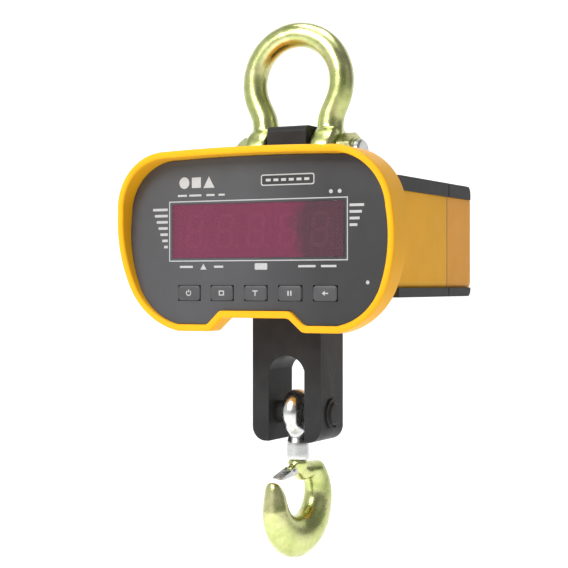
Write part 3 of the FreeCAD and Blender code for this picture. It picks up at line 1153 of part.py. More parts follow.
def screws(name, head, shank):
    """Four housing screws: heads and shanks between places along Y."""
    heads = corner_rods(name + "_head", "screw_dia - gap", head)
    shanks = corner_rods(name + "_shank", "screw_dia / 2", shank)
    return keep(name, group(name + "_set", [
        fuse(f"{name}_{index}", top, bar) for index, (top, bar) in enumerate(zip(heads, shanks))]))


SCREW_SEAT = f"({REAR} - 2 * screw_dia)"
screws("housing_screws", (f"{PLATE_FRONT} - 3", PLATE_FRONT), (PLATE_FRONT, f"{MID_FRONT} + screw_grip"))
screws("cover_screws", (SCREW_SEAT, f"{SCREW_SEAT} + 3.5"), (f"{MID_REAR} - screw_grip", SCREW_SEAT))

# ---------------------------------------------------------------- check and write
doc.recompute()
for thing in doc.Objects:
    if {"Invalid", "Error"} & set(thing.State):
        raise RuntimeError(f"{thing.Name} did not build: {thing.State}")
for name, piece in parts.items():
    if piece.Shape.isNull() or not piece.Shape.isValid():
        raise RuntimeError(f"{name} has no valid shape")
    if not piece.Shape.Solids:
        raise RuntimeError(f"{name} holds no solid")

os.makedirs("parts", exist_ok=True)
for name, piece in parts.items():
    piece.Shape.exportStep(f"parts/{name}.step")
print(len(parts), "pieces written")
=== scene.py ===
"""Crane scale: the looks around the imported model, laid out as an add-on.

Everything is in metres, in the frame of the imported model: +Z up, -Y is the side with the
display, and the origin is the inner face of the shackle's crown.
"""
import json
import math

import bmesh
import bpy
from mathutils import Matrix, Vector


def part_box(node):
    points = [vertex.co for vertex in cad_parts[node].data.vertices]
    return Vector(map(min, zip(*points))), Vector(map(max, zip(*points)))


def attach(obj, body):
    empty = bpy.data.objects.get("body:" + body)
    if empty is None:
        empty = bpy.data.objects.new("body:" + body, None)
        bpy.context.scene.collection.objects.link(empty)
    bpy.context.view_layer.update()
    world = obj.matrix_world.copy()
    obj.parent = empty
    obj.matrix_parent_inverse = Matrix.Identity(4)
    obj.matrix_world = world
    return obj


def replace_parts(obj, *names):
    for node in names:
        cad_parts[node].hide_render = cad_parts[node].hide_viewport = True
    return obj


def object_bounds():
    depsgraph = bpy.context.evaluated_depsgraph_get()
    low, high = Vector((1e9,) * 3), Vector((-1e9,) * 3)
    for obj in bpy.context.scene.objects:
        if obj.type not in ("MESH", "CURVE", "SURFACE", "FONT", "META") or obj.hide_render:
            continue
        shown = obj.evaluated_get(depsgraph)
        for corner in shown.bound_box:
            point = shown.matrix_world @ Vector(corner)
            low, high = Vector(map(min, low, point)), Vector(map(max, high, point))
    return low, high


bl_info = {
    "name": "Crane Scale",
    "version": (1, 0, 0),
    "blender": (4, 5, 0),
    "location": "3D View > Sidebar > Crane Scale",
    "description": "Builds the pieces and finishes of a hanging crane scale around its packed model",
    "category": "Object",
}

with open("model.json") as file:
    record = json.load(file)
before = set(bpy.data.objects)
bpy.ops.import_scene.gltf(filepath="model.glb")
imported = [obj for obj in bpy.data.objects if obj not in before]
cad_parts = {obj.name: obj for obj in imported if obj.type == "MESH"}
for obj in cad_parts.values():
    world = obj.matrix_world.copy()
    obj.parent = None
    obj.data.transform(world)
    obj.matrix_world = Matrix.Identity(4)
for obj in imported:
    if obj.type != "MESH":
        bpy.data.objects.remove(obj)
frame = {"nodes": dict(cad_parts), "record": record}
CAD_BOX = [list(corner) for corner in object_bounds()]
MM = 0.001
NODES = frame["nodes"]
BODY_OF = {node: body for body, nodes in frame["record"]["behaviour"]["bodies"].items() for node in nodes}
SLOT_OF = {entry["node"]: entry["material_slot"] for entry in frame["record"]["subparts"]}


def place_of(node):
    """Lowest corner, highest corner and middle of a node at rest."""
    low, high = (Vector(corner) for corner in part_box(node))
    return low, high, (low + high) / 2


# ---------------------------------------------------------------- settings
COLOUR = {"subtype": "COLOR", "size": 3, "min": 0, "max": 1}
LENGTH = {"subtype": "DISTANCE", "unit": "LENGTH"}


class ScaleFinishes(bpy.types.PropertyGroup):
    """Colours and surface values that a user would change."""

    shell: bpy.props.FloatVectorProperty(
        name="Housing", description="Colour of the housing's coat",
        default=(0.86, 0.42, 0.016), **COLOUR)
    # the rear cover's colour is the housing coat darkened to a browner tone: painted shade
    cover: bpy.props.FloatVectorProperty(
        name="Rear cover", description="Colour of the rear cover's coat",
        default=(0.80, 0.36, 0.045), **COLOUR)
    plate: bpy.props.FloatVectorProperty(
        name="Zinc plate", description="Colour of the plated forgings",
        default=(0.60, 0.66, 0.26), **COLOUR)
    steel: bpy.props.FloatVectorProperty(
        name="Bright steel", description="Colour of nuts, pins and the hook's eye",
        default=(0.72, 0.73, 0.72), **COLOUR)
    enamel: bpy.props.FloatVectorProperty(
        name="Enamel", description="Colour of the load cell and yoke",
        default=(0.032, 0.032, 0.033), **COLOUR)
    panel: bpy.props.FloatVectorProperty(
        name="Panel", description="Colour of the display panel",
        default=(0.062, 0.062, 0.066), **COLOUR)
    window: bpy.props.FloatVectorProperty(
        name="Window", description="Colour of the display window",
        default=(0.2, 0.028, 0.075), **COLOUR)
    ink: bpy.props.FloatVectorProperty(
        name="Print", description="Colour of the print on the panel",
        default=(0.44, 0.44, 0.44), **COLOUR)
    rubber: bpy.props.FloatVectorProperty(
        name="Rubber", description="Colour of the bumpers, seals and caps",
        default=(0.022, 0.022, 0.023), **COLOUR)
    coat_grain: bpy.props.FloatProperty(
        name="Coat grain", description="Depth of the housing coat's orange peel",
        default=0.00004, min=0, max=0.001, precision=5, **LENGTH)


class ScaleDetails(bpy.types.PropertyGroup):
    """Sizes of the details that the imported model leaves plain."""

    edge: bpy.props.FloatProperty(
        name="Edge radius", description="Radius on the edges of machined pieces",
        default=0.0009, min=0.0001, max=0.003, precision=4, **LENGTH)
    shell_edge: bpy.props.FloatProperty(
        name="Housing edge radius", description="Radius on the housing's edges",
        default=0.0022, min=0.0002, max=0.004, precision=4, **LENGTH)
    voxel: bpy.props.FloatProperty(
        name="Forging grain", description="Size of the cells that blend a forging",
        default=0.0012, min=0.0005, max=0.004, precision=4, **LENGTH)
    print_depth: bpy.props.FloatProperty(
        name="Print thickness", description="How far the print stands off the panel",
        default=0.00012, min=0.00002, max=0.0005, precision=5, **LENGTH)
    camera_azimuth: bpy.props.FloatProperty(
        name="Camera azimuth", description="Camera's angle round the scale", subtype="ANGLE", unit="ROTATION",
        default=math.radians(27))
    camera_distance: bpy.props.FloatProperty(
        name="Camera distance", description="Camera's distance from the lifting axis",
        default=1.3, min=0.5, max=5, **LENGTH)


def finishes():
    """The scene's colours and surface values."""
    return bpy.context.scene.crane_scale_finishes


def details():
    """The scene's small sizes."""
    return bpy.context.scene.crane_scale_details


# ---------------------------------------------------------------- materials
class Finish:
    """One material being written: a principled shader and the nodes that feed it."""

    def __init__(self, name, colour, roughness, metallic=0.0, **sockets):
        self.material = bpy.data.materials.new(name)
        self.material.use_nodes = True
        self.tree = self.material.node_tree
        self.shader = self.tree.nodes["Principled BSDF"]
        self.place = self.node("ShaderNodeTexCoord").outputs["Object"]
        self.colour = colour
        self.height = None
        self.shader.inputs["Base Color"].default_value = (*colour, 1)
        self.shader.inputs["Roughness"].default_value = roughness
        self.shader.inputs["Metallic"].default_value = metallic
        for socket, value in sockets.items():
            self.shader.inputs[socket.replace("_", " ")].default_value = value

    def node(self, kind, inputs=None, **settings):
        """Add a node; an input may be a value or another node's output."""
        made = self.tree.nodes.new(kind)
        for key, value in settings.items():
            setattr(made, key, value)
        for key, value in (inputs or {}).items():
            if isinstance(value, bpy.types.NodeSocket):
                self.tree.links.new(value, made.inputs[key])
            else:
                made.inputs[key].default_value = value
        return made

    def noise(self, scale, detail=4.0, roughness=0.55, stretch=None, distortion=0.0):
        """A noise over the object's own coordinates; stretch squeezes it along each axis."""
        where = self.place
        if stretch:
            where = self.node("ShaderNodeMapping", {"Vector": self.place, "Scale": stretch}).outputs["Vector"]
        return self.node("ShaderNodeTexNoise", {
            "Vector": where, "Scale": scale, "Detail": detail, "Roughness": roughness,
            "Distortion": distortion,
        }).outputs["Fac"]

    def across(self):
        """The place from side to side."""
        return self.node("ShaderNodeSeparateXYZ", {"Vector": self.place}).outputs["X"]

    def math(self, operation, first, second):
        """One step of arithmetic."""
        return self.node("ShaderNodeMath", {0: first, 1: second}, operation=operation).outputs["Value"]

    def ramp(self, factor, stops):
        """A colour or grey ramp through (position, colour) stops."""
        made = self.node("ShaderNodeValToRGB", {"Fac": factor})
        band = made.color_ramp
        while len(band.elements) < len(stops):
            band.elements.new(0.5)
        for element, (position, colour) in zip(band.elements, stops):
            element.position = position
            element.color = (*colour, 1) if len(colour) == 3 else colour
        return made.outputs["Color"]

    def mix(self, factor, first, second, blend="MIX"):
        """Blend two colours, each a value or another node's output."""
        made = self.node("ShaderNodeMix", data_type="RGBA", blend_type=blend)
        for index, value in ((0, factor), (6, first), (7, second)):
            if isinstance(value, bpy.types.NodeSocket):
                self.tree.links.new(value, made.inputs[index])
            elif index == 0:
                made.inputs[index].default_value = value
            else:
                made.inputs[index].default_value = (*value, 1)
        return made.outputs[2]

    def paint(self, colour):
        """Take a node's output as the base colour."""
        self.colour = colour
        self.tree.links.new(colour, self.shader.inputs["Base Color"])
        return self

    def mottle(self, scale, low, high, **noise_settings):
        """Vary the base colour between two tints of itself."""
        tint = self.ramp(self.noise(scale, **noise_settings), ((0.3, (low,) * 3), (0.7, (high,) * 3)))
        return self.paint(self.mix(1.0, self.colour, tint, "MULTIPLY"))

    def breakup(self, scale, low, high, **noise_settings):
        """Vary the roughness."""
        fac = self.noise(scale, **noise_settings)
        made = self.node("ShaderNodeMapRange", {"Value": fac, "From Min": 0.3, "From Max": 0.7,
                                                "To Min": low, "To Max": high})
        self.tree.links.new(made.outputs["Result"], self.shader.inputs["Roughness"])
        return self

    def bump(self, factor, distance):
        """Raise the surface by a pattern, on top of any earlier bump."""
        made = self.node("ShaderNodeBump", {"Height": factor, "Distance": distance, "Strength": 1.0})
        if self.height is not None:
            self.tree.links.new(self.height, made.inputs["Normal"])
        self.height = made.outputs["Normal"]
        self.tree.links.new(self.height, self.shader.inputs["Normal"])
        return self

    def wear(self, colour, low=0.54, high=0.6):
        """Rubbed edges in another colour, broken up by a noise."""
        sharp = self.node("ShaderNodeNewGeometry").outputs["Pointiness"]
        edge = self.ramp(sharp, ((low, (0, 0, 0)), (high, (1, 1, 1))))
        patchy = self.ramp(self.noise(260, detail=6), ((0.42, (0, 0, 0)), (0.58, (1, 1, 1))))
        both = self.mix(1.0, edge, patchy, "MULTIPLY")
        return self.paint(self.mix(both, self.colour, colour))

    def dust(self, colour, amount):
        """A little settled dirt on faces that look up."""
        facing = self.node("ShaderNodeNewGeometry").outputs["Normal"]
        up = self.node("ShaderNodeSeparateXYZ", {"Vector": facing})
        level = self.ramp(up.outputs["Z"], ((0.5, (0, 0, 0)), (1.0, (amount,) * 3)))
        patchy = self.ramp(self.noise(45, detail=5), ((0.35, (0, 0, 0)), (0.65, (1, 1, 1))))
        return self.paint(self.mix(self.mix(1.0, level, patchy, "MULTIPLY"), self.colour, colour))


def zinc_plate(want):
    """Yellow-green passivated zinc with cloudy tints."""
    plate = Finish("zinc_plate", tuple(want.plate), 0.27, metallic=1.0, Coat_Weight=0.25, Coat_Roughness=0.12)
    tints = ((0.3, (0.46, 0.53, 0.17)), (0.45, tuple(want.plate)), (0.58, (0.72, 0.70, 0.36)),
             (0.72, (0.56, 0.64, 0.33)))
    tint = plate.ramp(plate.noise(26, detail=3, distortion=0.6), tints)
    plate.paint(tint).mottle(190, 0.86, 1.04, detail=6)
    plate.breakup(70, 0.2, 0.36, detail=6).bump(plate.noise(120, detail=3), 0.00022)
    return plate.bump(plate.noise(900, detail=4), 0.00003)


def bright_steel(want):
    """Machined steel with faint clouds."""
    steel = Finish("bright_steel", tuple(want.steel), 0.25, metallic=1.0)
    steel.mottle(120, 0.82, 1.03, detail=5).breakup(160, 0.18, 0.34, detail=5)
    return steel.bump(steel.noise(700, detail=3), 0.00002)


def black_enamel(want):
    """Sprayed enamel, rubbed a little at the edges."""
    enamel = Finish("black_enamel", tuple(want.enamel), 0.46, Specular_IOR_Level=0.07, Coat_Weight=0.02,
                    Coat_Roughness=0.25)
    enamel.mottle(40, 0.85, 1.15, detail=4).wear((0.1, 0.1, 0.105), 0.56, 0.64)
    return enamel.breakup(60, 0.32, 0.42, detail=4).bump(enamel.noise(300, detail=2), 0.00002)


def powder_coat(name, colour, edge):
    """A matt powder coat, clouded a little and rubbed at its edges."""
    coat = Finish(name, tuple(colour), 0.46, Specular_IOR_Level=0.05, Coat_Weight=0.02, Coat_Roughness=0.16)
    return coat.mottle(14, 0.93, 1.04, detail=3).wear(edge, 0.56, 0.64)


def housing_coat(want):
    """The housing's orange coat, with fine orange peel and a little dust."""
    shell = powder_coat("housing_coat", want.shell, (0.93, 0.52, 0.10)).dust((0.42, 0.22, 0.04), 0.2)
    return shell.breakup(60, 0.3, 0.42, detail=5).bump(shell.noise(650, detail=2), want.coat_grain)


def rear_coat(want):
    """The same coat darkened to a browner tone as painted shade, for the rear cover and the battery door."""
    cover = powder_coat("rear_coat", want.cover, (0.9, 0.46, 0.12))
    return cover.breakup(60, 0.32, 0.44, detail=5).bump(cover.noise(650, detail=2), want.coat_grain)


def panel_film(want):
    """Glossy printed film with a painted reflection, darker towards its right end."""
    panel = Finish("panel_film", tuple(want.panel), 0.34, Coat_Weight=0.3, Coat_Roughness=0.08)
    # painted reflection: the film keeps its colour on the left and darkens towards the right
    half_wide, per_width = 0.13, 3.85
    painted_reflection_fade = panel.math("MULTIPLY", panel.math("ADD", panel.across(), half_wide), per_width)
    painted_reflection_tone = panel.ramp(painted_reflection_fade, ((0.45, (1.0,) * 3), (0.75, (0.4,) * 3)))
    panel.paint(panel.mix(1.0, panel.colour, painted_reflection_tone, "MULTIPLY"))
    panel.mottle(35, 0.95, 1.04, detail=3).breakup(120, 0.3, 0.36)
    return panel.bump(panel.noise(700, detail=2), 0.000006)


def window_filter(want):
    """Dark red filter, greyer at its right end with an uneven border."""
    window = Finish("window_filter", tuple(want.window), 0.08, Alpha=0.62, Coat_Weight=1.0,
                    Coat_Roughness=0.03)
    spread, per_metre = 0.03, 10.0
    uneven = window.math("ADD", window.across(), window.math("MULTIPLY", window.noise(45, detail=1), spread))
    grey = window.ramp(window.math("MULTIPLY", uneven, per_metre), ((0.5, (0, 0, 0)), (0.62, (0.7,) * 3)))
    return window.paint(window.mix(grey, window.colour, (0.05, 0.034, 0.04))).mottle(12, 0.94, 1.05, detail=2)


def circuit_board(want):
    """Green lacquer with raised tracks."""
    board = Finish("circuit_board", (0.01, 0.07, 0.03), 0.35, Coat_Weight=0.5)
    tracks = board.ramp(board.noise(400, detail=1, stretch=(1, 1, 6)), ((0.48, (0, 0, 0)), (0.5, (1, 1, 1))))
    return board.paint(board.mix(tracks, (0.01, 0.07, 0.03), (0.02, 0.11, 0.05))).bump(tracks, 0.00003)


# plain finishes: colour, or the setting that holds it, roughness and metallic,
# then the mottle's scale, tints and detail, and the bump's scale, detail and depth
PLAIN = {
    "key_rubber": ((0.055, 0.055, 0.058), 0.5, 0.0, (90, 0.9, 1.08, 4), (1500, 2, 0.00003)),
    "black_rubber": ("rubber", 0.62, 0.0, (80, 0.8, 1.2, 5), (900, 4, 0.00006)),
    "black_plastic": ((0.02, 0.02, 0.022), 0.45, 0.0, (60, 0.85, 1.15, 4), (1300, 2, 0.00003)),
    "brass": ((0.75, 0.5, 0.2), 0.28, 1.0, (150, 0.85, 1.05, 4), (600, 2, 0.00002)),
    "print": ("ink", 0.5, 0.0, (500, 0.9, 1.05, 4), (3000, 1, 0.00001)),
    "dark_print": ((0.012, 0.012, 0.013), 0.45, 0.0, (400, 0.9, 1.1, 4), (3000, 1, 0.00001)),
    "segment": ((0.36, 0.1, 0.12), 0.4, 0.0, (300, 0.92, 1.06, 4), (900, 2, 0.00002)),
}


def plain(want, name):
    """A finish of one colour, clouded a little, with a fine grain."""
    colour, roughness, metallic, (scale, low, high, detail), (grain, grain_detail, depth) = PLAIN[name]
    if isinstance(colour, str):
        colour = tuple(getattr(want, colour))
    coat = Finish(name, colour, roughness, metallic).mottle(scale, low, high, detail=detail)
    return coat.bump(coat.noise(grain, detail=grain_detail), depth)


# worked-out finishes by the record's slots; the rear cover's is the housing coat darkened as painted shade
MAKERS = {
    "plated_steel": zinc_plate,
    "bright_steel": bright_steel,
    "black_steel": black_enamel,
    "orange_shell": housing_coat,
    "panel_face": panel_film,
    "red_window": window_filter,
    "circuit_board": circuit_board,
    "rear_coat": rear_coat,
}
MATERIALS = {}


def material(name):
    """A finish's material, made with all the others when the first one is asked for."""
    if not MATERIALS:
        MATERIALS.update({slot: maker(finishes()).material for slot, maker in MAKERS.items()})
        MATERIALS.update({slot: plain(finishes(), slot).material for slot in PLAIN})
    return MATERIALS[name]


# ---------------------------------------------------------------- mesh tools
def wear_slot(obj, slot):
    """Give an object the finish of a slot."""
    obj.data.materials.clear()
    obj.data.materials.append(material(slot))


def smooth(mesh, angle=math.radians(38)):
    """Smooth shading that stays sharp across edges steeper than an angle."""
    mesh.shade_smooth()
    mesh.set_sharp_from_angle(angle=angle)


def linked(name, data):
    """A new object in the scene."""
    obj = bpy.data.objects.new(name, data)
    bpy.context.scene.collection.objects.link(obj)
    return obj


def bare_mesh(name, verts, faces):
    """A mesh from vertices and faces alone."""
    mesh = bpy.data.meshes.new(name)
    mesh.from_pydata([tuple(vert) for vert in verts], [], faces)
    return mesh


def mesh_object(name, verts, faces, slot, body, angle=math.radians(38)):
    """A new piece from vertices and faces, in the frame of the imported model."""
    mesh = bare_mesh(name, verts, faces)
    built = bmesh.new()
    built.from_mesh(mesh)
    bmesh.ops.remove_doubles(built, verts=built.verts, dist=1e-6)
    bmesh.ops.recalc_face_normals(built, faces=built.faces)
    built.to_mesh(mesh)
    built.free()
    obj = linked(name, mesh)
    smooth(mesh, angle)
    wear_slot(obj, slot)
    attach(obj, body)
    return obj


def loft(rings, closed=False):
    """A skin through rings with equal counts, as (vertices, faces); its ends are capped unless closed."""
    count = len(rings[0])
    verts = [point for ring in rings for point in ring]
    faces = []
    last = len(rings) if closed else len(rings) - 1
    for level in range(last):
        here = level * count
        above = ((level + 1) % len(rings)) * count
        for step in range(count):
            follow = (step + 1) % count
            faces.append((here + step, here + follow, above + follow, above + step))
    if not closed:
        faces.append(tuple(reversed(range(count))))
        faces.append(tuple(range(len(verts) - count, len(verts))))
    return verts, faces


def joined(shapes):
    """Several (vertices, faces) as one."""
    verts, faces = [], []
    for part_verts, part_faces in shapes:
        start = len(verts)
        verts += part_verts
        faces += [tuple(index + start for index in face) for face in part_faces]
    return verts, faces


def around(axis, centre, radius, turn, along):
    """A point at a radius and an angle about an axis, and a place along it."""
    a, b = radius * math.cos(turn), radius * math.sin(turn)
    return centre + Vector({"x": (along, a, b), "y": (b, along, a), "z": (a, b, along)}[axis])


def hex_reach(turn):
    """How much further out a hexagon's edge is at an angle than at the middle of a flat."""
    return 1 / math.cos((turn + math.pi / 6) % (math.pi / 3) - math.pi / 6)


def turned(profile, axis="z", centre=Vector(), steps=48, shape=None):
    """A solid about an axis from (radius, place along the axis); shape may change the radius by angle."""
    turns = [2 * math.pi * step / steps for step in range(steps)]
    return loft([
        [around(axis, centre, shape(radius, turn) if shape else radius, turn, along) for turn in turns]
        for radius, along in profile
    ])


def kept_mesh(obj):
    """Apply an object's modifiers."""
    graph = bpy.context.evaluated_depsgraph_get()
    made = bpy.data.meshes.new_from_object(obj.evaluated_get(graph))
    obj.modifiers.clear()
    obj.data = made
    return obj


def forge(obj, passes=8):
    """Blend the joined lumps of a forging into one skin."""
    remesh = obj.modifiers.new("blend", "REMESH")
    remesh.mode = "VOXEL"
    remesh.voxel_size = details().voxel
    ease = obj.modifiers.new("ease", "SMOOTH")
    ease.factor = 0.5
    ease.iterations = passes
    kept_mesh(obj)
    obj.data.shade_smooth()
    return obj


def bored(obj, shapes):
    """Cut round holes out of a piece."""
    mesh = bare_mesh("bore", *joined(shapes))
    cutter = linked("bore", mesh)
    drill = obj.modifiers.new("bore", "BOOLEAN")
    drill.operation = "DIFFERENCE"
    drill.solver = "EXACT"
    drill.object = cutter
    kept_mesh(obj)
    bpy.data.objects.remove(cutter)
    bpy.data.meshes.remove(mesh)
    smooth(obj.data)
    return obj


def soften(node, width, segments=3, angle=math.radians(32)):
    """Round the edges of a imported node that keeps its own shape."""
    obj = NODES[node]
    weld = obj.modifiers.new("weld", "WELD")
    weld.merge_threshold = 1e-6
    bevel = obj.modifiers.new("edges", "BEVEL")
    bevel.width = width
    bevel.segments = segments
    bevel.limit_method = "ANGLE"
    bevel.angle_limit = angle
    bevel.harden_normals = False
    normals = obj.modifiers.new("normals", "WEIGHTED_NORMAL")
    normals.keep_sharp = True
    smooth(obj.data, angle)
    return obj


def add_bevel(obj, width, segments=3):
    """Rounded edges on a new piece."""
    bevel = obj.modifiers.new("edges", "BEVEL")
    bevel.width = width
    bevel.segments = segments
    bevel.limit_method = "ANGLE"
    bevel.harden_normals = True
    return obj


def dress(*nodes, width=0.0):
    """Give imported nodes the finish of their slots, with rounded edges if a width is given."""
    for node in nodes:
        wear_slot(NODES[node], SLOT_OF[node])
        if width:
            soften(node, width)


def hex_fastener(name, axis, flats, ends, centre, bore, slot, body):
    """A hexagonal nut or bolt head with chamfered corners; bore 0 makes it solid."""
    steps = 60
    inner = flats / 2
    lead_in = 0.6 * MM
    rings = []
    low, high = ends

    def ring(height_of, radius_of):
        points = []
        for step in range(steps):
            turn = 2 * math.pi * step / steps
            corner = inner * hex_reach(turn)
            points.append(around(axis, centre, radius_of(corner), turn, height_of(corner)))
        rings.append(points)

    def drop(corner):
        """How far the chamfer takes a corner down."""
        return (corner - inner * 0.97) * 0.58

    if bore:
        ring(lambda corner: low + lead_in, lambda corner: bore)
        ring(lambda corner: low, lambda corner: bore + lead_in)
    ring(lambda corner: low, lambda corner: inner * 0.95)
    ring(lambda corner: low + drop(corner), lambda corner: corner)
    ring(lambda corner: high - drop(corner), lambda corner: corner)
    ring(lambda corner: high, lambda corner: inner * 0.95)
    if bore:
        ring(lambda corner: high, lambda corner: bore + lead_in)
        ring(lambda corner: high - lead_in, lambda corner: bore)
    return mesh_object(name, *loft(rings, closed=bool(bore)), slot, body, angle=math.radians(20))


def rounded_rectangle(wide, high, radius, steps=6):
    """Points around a rectangle with round corners, counter-clockwise."""
    points = []
    for corner, (sign_x, sign_z) in enumerate(((1, 1), (-1, 1), (-1, -1), (1, -1))):
        for step in range(steps + 1):
            turn = math.pi / 2 * (corner + step / steps)
            points.append((sign_x * (wide / 2 - radius) + radius * math.cos(turn),
                           sign_z * (high / 2 - radius) + radius * math.sin(turn)))
    return points


def rounded_shape(x, z, wide, high, radius):
    """A rectangle with round corners around a centre."""
    return [(x + a, z + b) for a, b in rounded_rectangle(wide, high, radius)]


def plates(name, shapes, front, depth, slot, body):
    """Flat shapes facing -Y, each a list of (x, z) points: thin solids from a front plane backwards."""
    solids = []
    for shape in shapes:
        rings = [[Vector((x, y, z)) for x, z in shape] for y in (front, front + depth)]
        solids.append(loft(rings))
    return mesh_object(name, *joined(solids), slot, body)


def bar(x, z, wide, high):
    """A rectangle's corners around a centre."""
    return [(x - wide / 2, z - high / 2), (x + wide / 2, z - high / 2),
            (x + wide / 2, z + high / 2), (x - wide / 2, z + high / 2)]


def frame_bars(x, z, wide, high, line):
    """A rectangular outline as four bars."""
    up, out = (high - line) / 2, (wide - line) / 2
    clear = high - 2 * line
    return [bar(x, z + up, wide, line), bar(x, z - up, wide, line),
            bar(x - out, z, line, clear), bar(x + out, z, line, clear)]


def disc(x, z, radius, steps=24):
    """A round shape's points."""
    turns = [2 * math.pi * step / steps for step in range(steps)]
    return [(x + radius * math.cos(turn), z + radius * math.sin(turn)) for turn in turns]


# ---------------------------------------------------------------- shackle
BORE = 12.58 * MM
SHANK = 12.5 * MM
EAR_OUT = 43 * MM
EAR_IN = 21 * MM
CORE = 0.5 * MM


def bow_path(reach, leg, pin_z, crown_z, lean=math.radians(25), blend=30 * MM):
    """The bow's centre line down its right half: crown arc, leaning run, bend and upright leg."""
    centre = Vector((0, 0, crown_z))
    points = []
    for step in range(29):
        angle = math.pi / 2 - (math.pi / 2 + lean) * step / 28
        points.append(centre + Vector((math.cos(angle), 0, math.sin(angle))) * reach)
    low = points[-1]
    run = (low.x - leg - blend * (1 - math.cos(lean))) / math.sin(lean)
    bend = low - Vector((math.sin(lean), 0, math.cos(lean))) * run
    points += [low.lerp(bend, share) for share in (0.33, 0.66)]
    middle = bend + Vector((math.cos(lean), 0, -math.sin(lean))) * blend
    for step in range(7):
        angle = lean * (1 - step / 6)
        points.append(middle - Vector((math.cos(angle), 0, -math.sin(angle))) * blend)
    upright = points[-1]
    points += [upright.lerp(Vector((leg, 0, pin_z)), share) for share in (0.3, 0.6, 0.85)]
    return points


def round_bar(points, radius_at, steps=32):
    """Rings around a line in the XZ plane."""
    rings = []
    for index, point in enumerate(points):
        before = points[max(index - 1, 0)]
        after = points[min(index + 1, len(points) - 1)]
        along = (after - before).normalized()
        out = Vector((along.z, 0, -along.x))
        radius = radius_at(index / (len(points) - 1))
        rings.append([
            point + out * radius * math.cos(2 * math.pi * k / steps)
            + Vector((0, 1, 0)) * radius * math.sin(2 * math.pi * k / steps)
            for k in range(steps)
        ])
    return rings


def ear(side, radius, pin_axis):
    """One of the bow's ears, as a disc with rolled edges."""
    flat, corner, roll = radius - 4.5 * MM, radius - 1.2 * MM, 7 * MM
    near, far = EAR_IN + 2.2 * MM, EAR_OUT - 2.2 * MM
    profile = [(CORE, EAR_IN), (flat, EAR_IN), (corner, near), (radius, EAR_IN + roll),
               (radius, EAR_OUT - roll), (corner, far), (flat, EAR_OUT), (CORE, EAR_OUT)]
    return turned([(reach, side * x) for reach, x in profile], "x", pin_axis)


class CRANE_SCALE_OT_shackle(bpy.types.Operator):
    """Forge the bow shackle: a round bow that swells into an ear at each end."""

    bl_idname = "crane_scale.shackle"
    bl_label = "Shackle"

    def execute(self, context):
        low, high, _ = place_of("shackle_bow")
        pin_low, pin_high, pin_middle = place_of("shackle_pin")
        nut_low, nut_high, nut_middle = place_of("shackle_nut")
        pin_axis = Vector((0, 0, pin_middle.z))
        flats = nut_high.y - nut_low.y
        rod = high.z / 2
        reach = high.x - rod
        half = bow_path(reach, (EAR_OUT + EAR_IN) / 2, pin_middle.z, rod - reach)
        points = [Vector((-p.x, p.y, p.z)) for p in reversed(half)] + half[1:]

        def radius_at(share):
            to_ear = abs(share - 0.5) * 2
            return rod * (1 + 0.1 * max(0.0, to_ear - 0.72) / 0.28)

        solids = [loft(round_bar(points, radius_at))]
        solids += [ear(side, (high.y - low.y) / 2, pin_axis) for side in (-1, 1)]
        forging = forge(mesh_object("bow_forging", *joined(solids), "plated_steel", "shackle"), passes=10)
        bored(forging, [turned([(BORE, -60 * MM), (BORE, 60 * MM)], "x", pin_axis)])
        wear_slot(forging, "plated_steel")
        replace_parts(forging, "shackle_bow")

        nut = hex_fastener("load_pin_nut", "x", flats, (nut_low.x, nut_high.x), Vector((0, 0, nut_middle.z)),
                           BORE, "plated_steel", "shackle")
        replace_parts(nut, "shackle_nut")
        chamfer = 1.6 * MM
        shank = [(CORE, pin_high.x), (SHANK - chamfer, pin_high.x), (SHANK, pin_high.x - chamfer),
                 (SHANK, -nut_low.x), (CORE, -nut_low.x)]
        pin = mesh_object("load_pin_shank", *turned(shank, "x", pin_axis), "bright_steel", "shackle")
        head = hex_fastener("load_pin_head", "x", flats, (pin_low.x, -nut_low.x), pin_axis, 0,
                            "plated_steel", "shackle")
        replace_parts(pin, "shackle_pin")
        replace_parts(head, "shackle_pin")
        dress("shackle_cotter")
        return {"FINISHED"}


# ---------------------------------------------------------------- yoke, load cell and hook pin
class CRANE_SCALE_OT_yoke(bpy.types.Operator):
    """Dress the load cell, the yoke and the pin that carries the hook."""

    bl_idname = "crane_scale.yoke"
    bl_label = "Yoke"

    def execute(self, context):
        dress("yoke", "load_cell", width=details().edge * 1.6)
        dress("yoke_bolt", width=details().edge)
        low, high, middle = place_of("hook_pin")
        cap, shank, seat, tip = (high.y - low.y) / 2, 10 * MM, low.x + 3 * MM, 1.2 * MM
        profile = [(CORE, low.x), (cap - 1.3 * MM, low.x), (cap - 0.4 * MM, low.x + 0.4 * MM),
                   (cap, low.x + 1.3 * MM), (cap, seat), (shank, seat), (shank, high.x - tip),
                   (shank - tip, high.x), (CORE, high.x)]
        pin = mesh_object("hook_pin_turned", *turned(profile, "x", Vector((0, 0, middle.z))), "black_steel",
                          "scale_body")
        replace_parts(pin, "hook_pin")
        dress("hook_pin_ring", width=details().edge * 0.4)
        return {"FINISHED"}


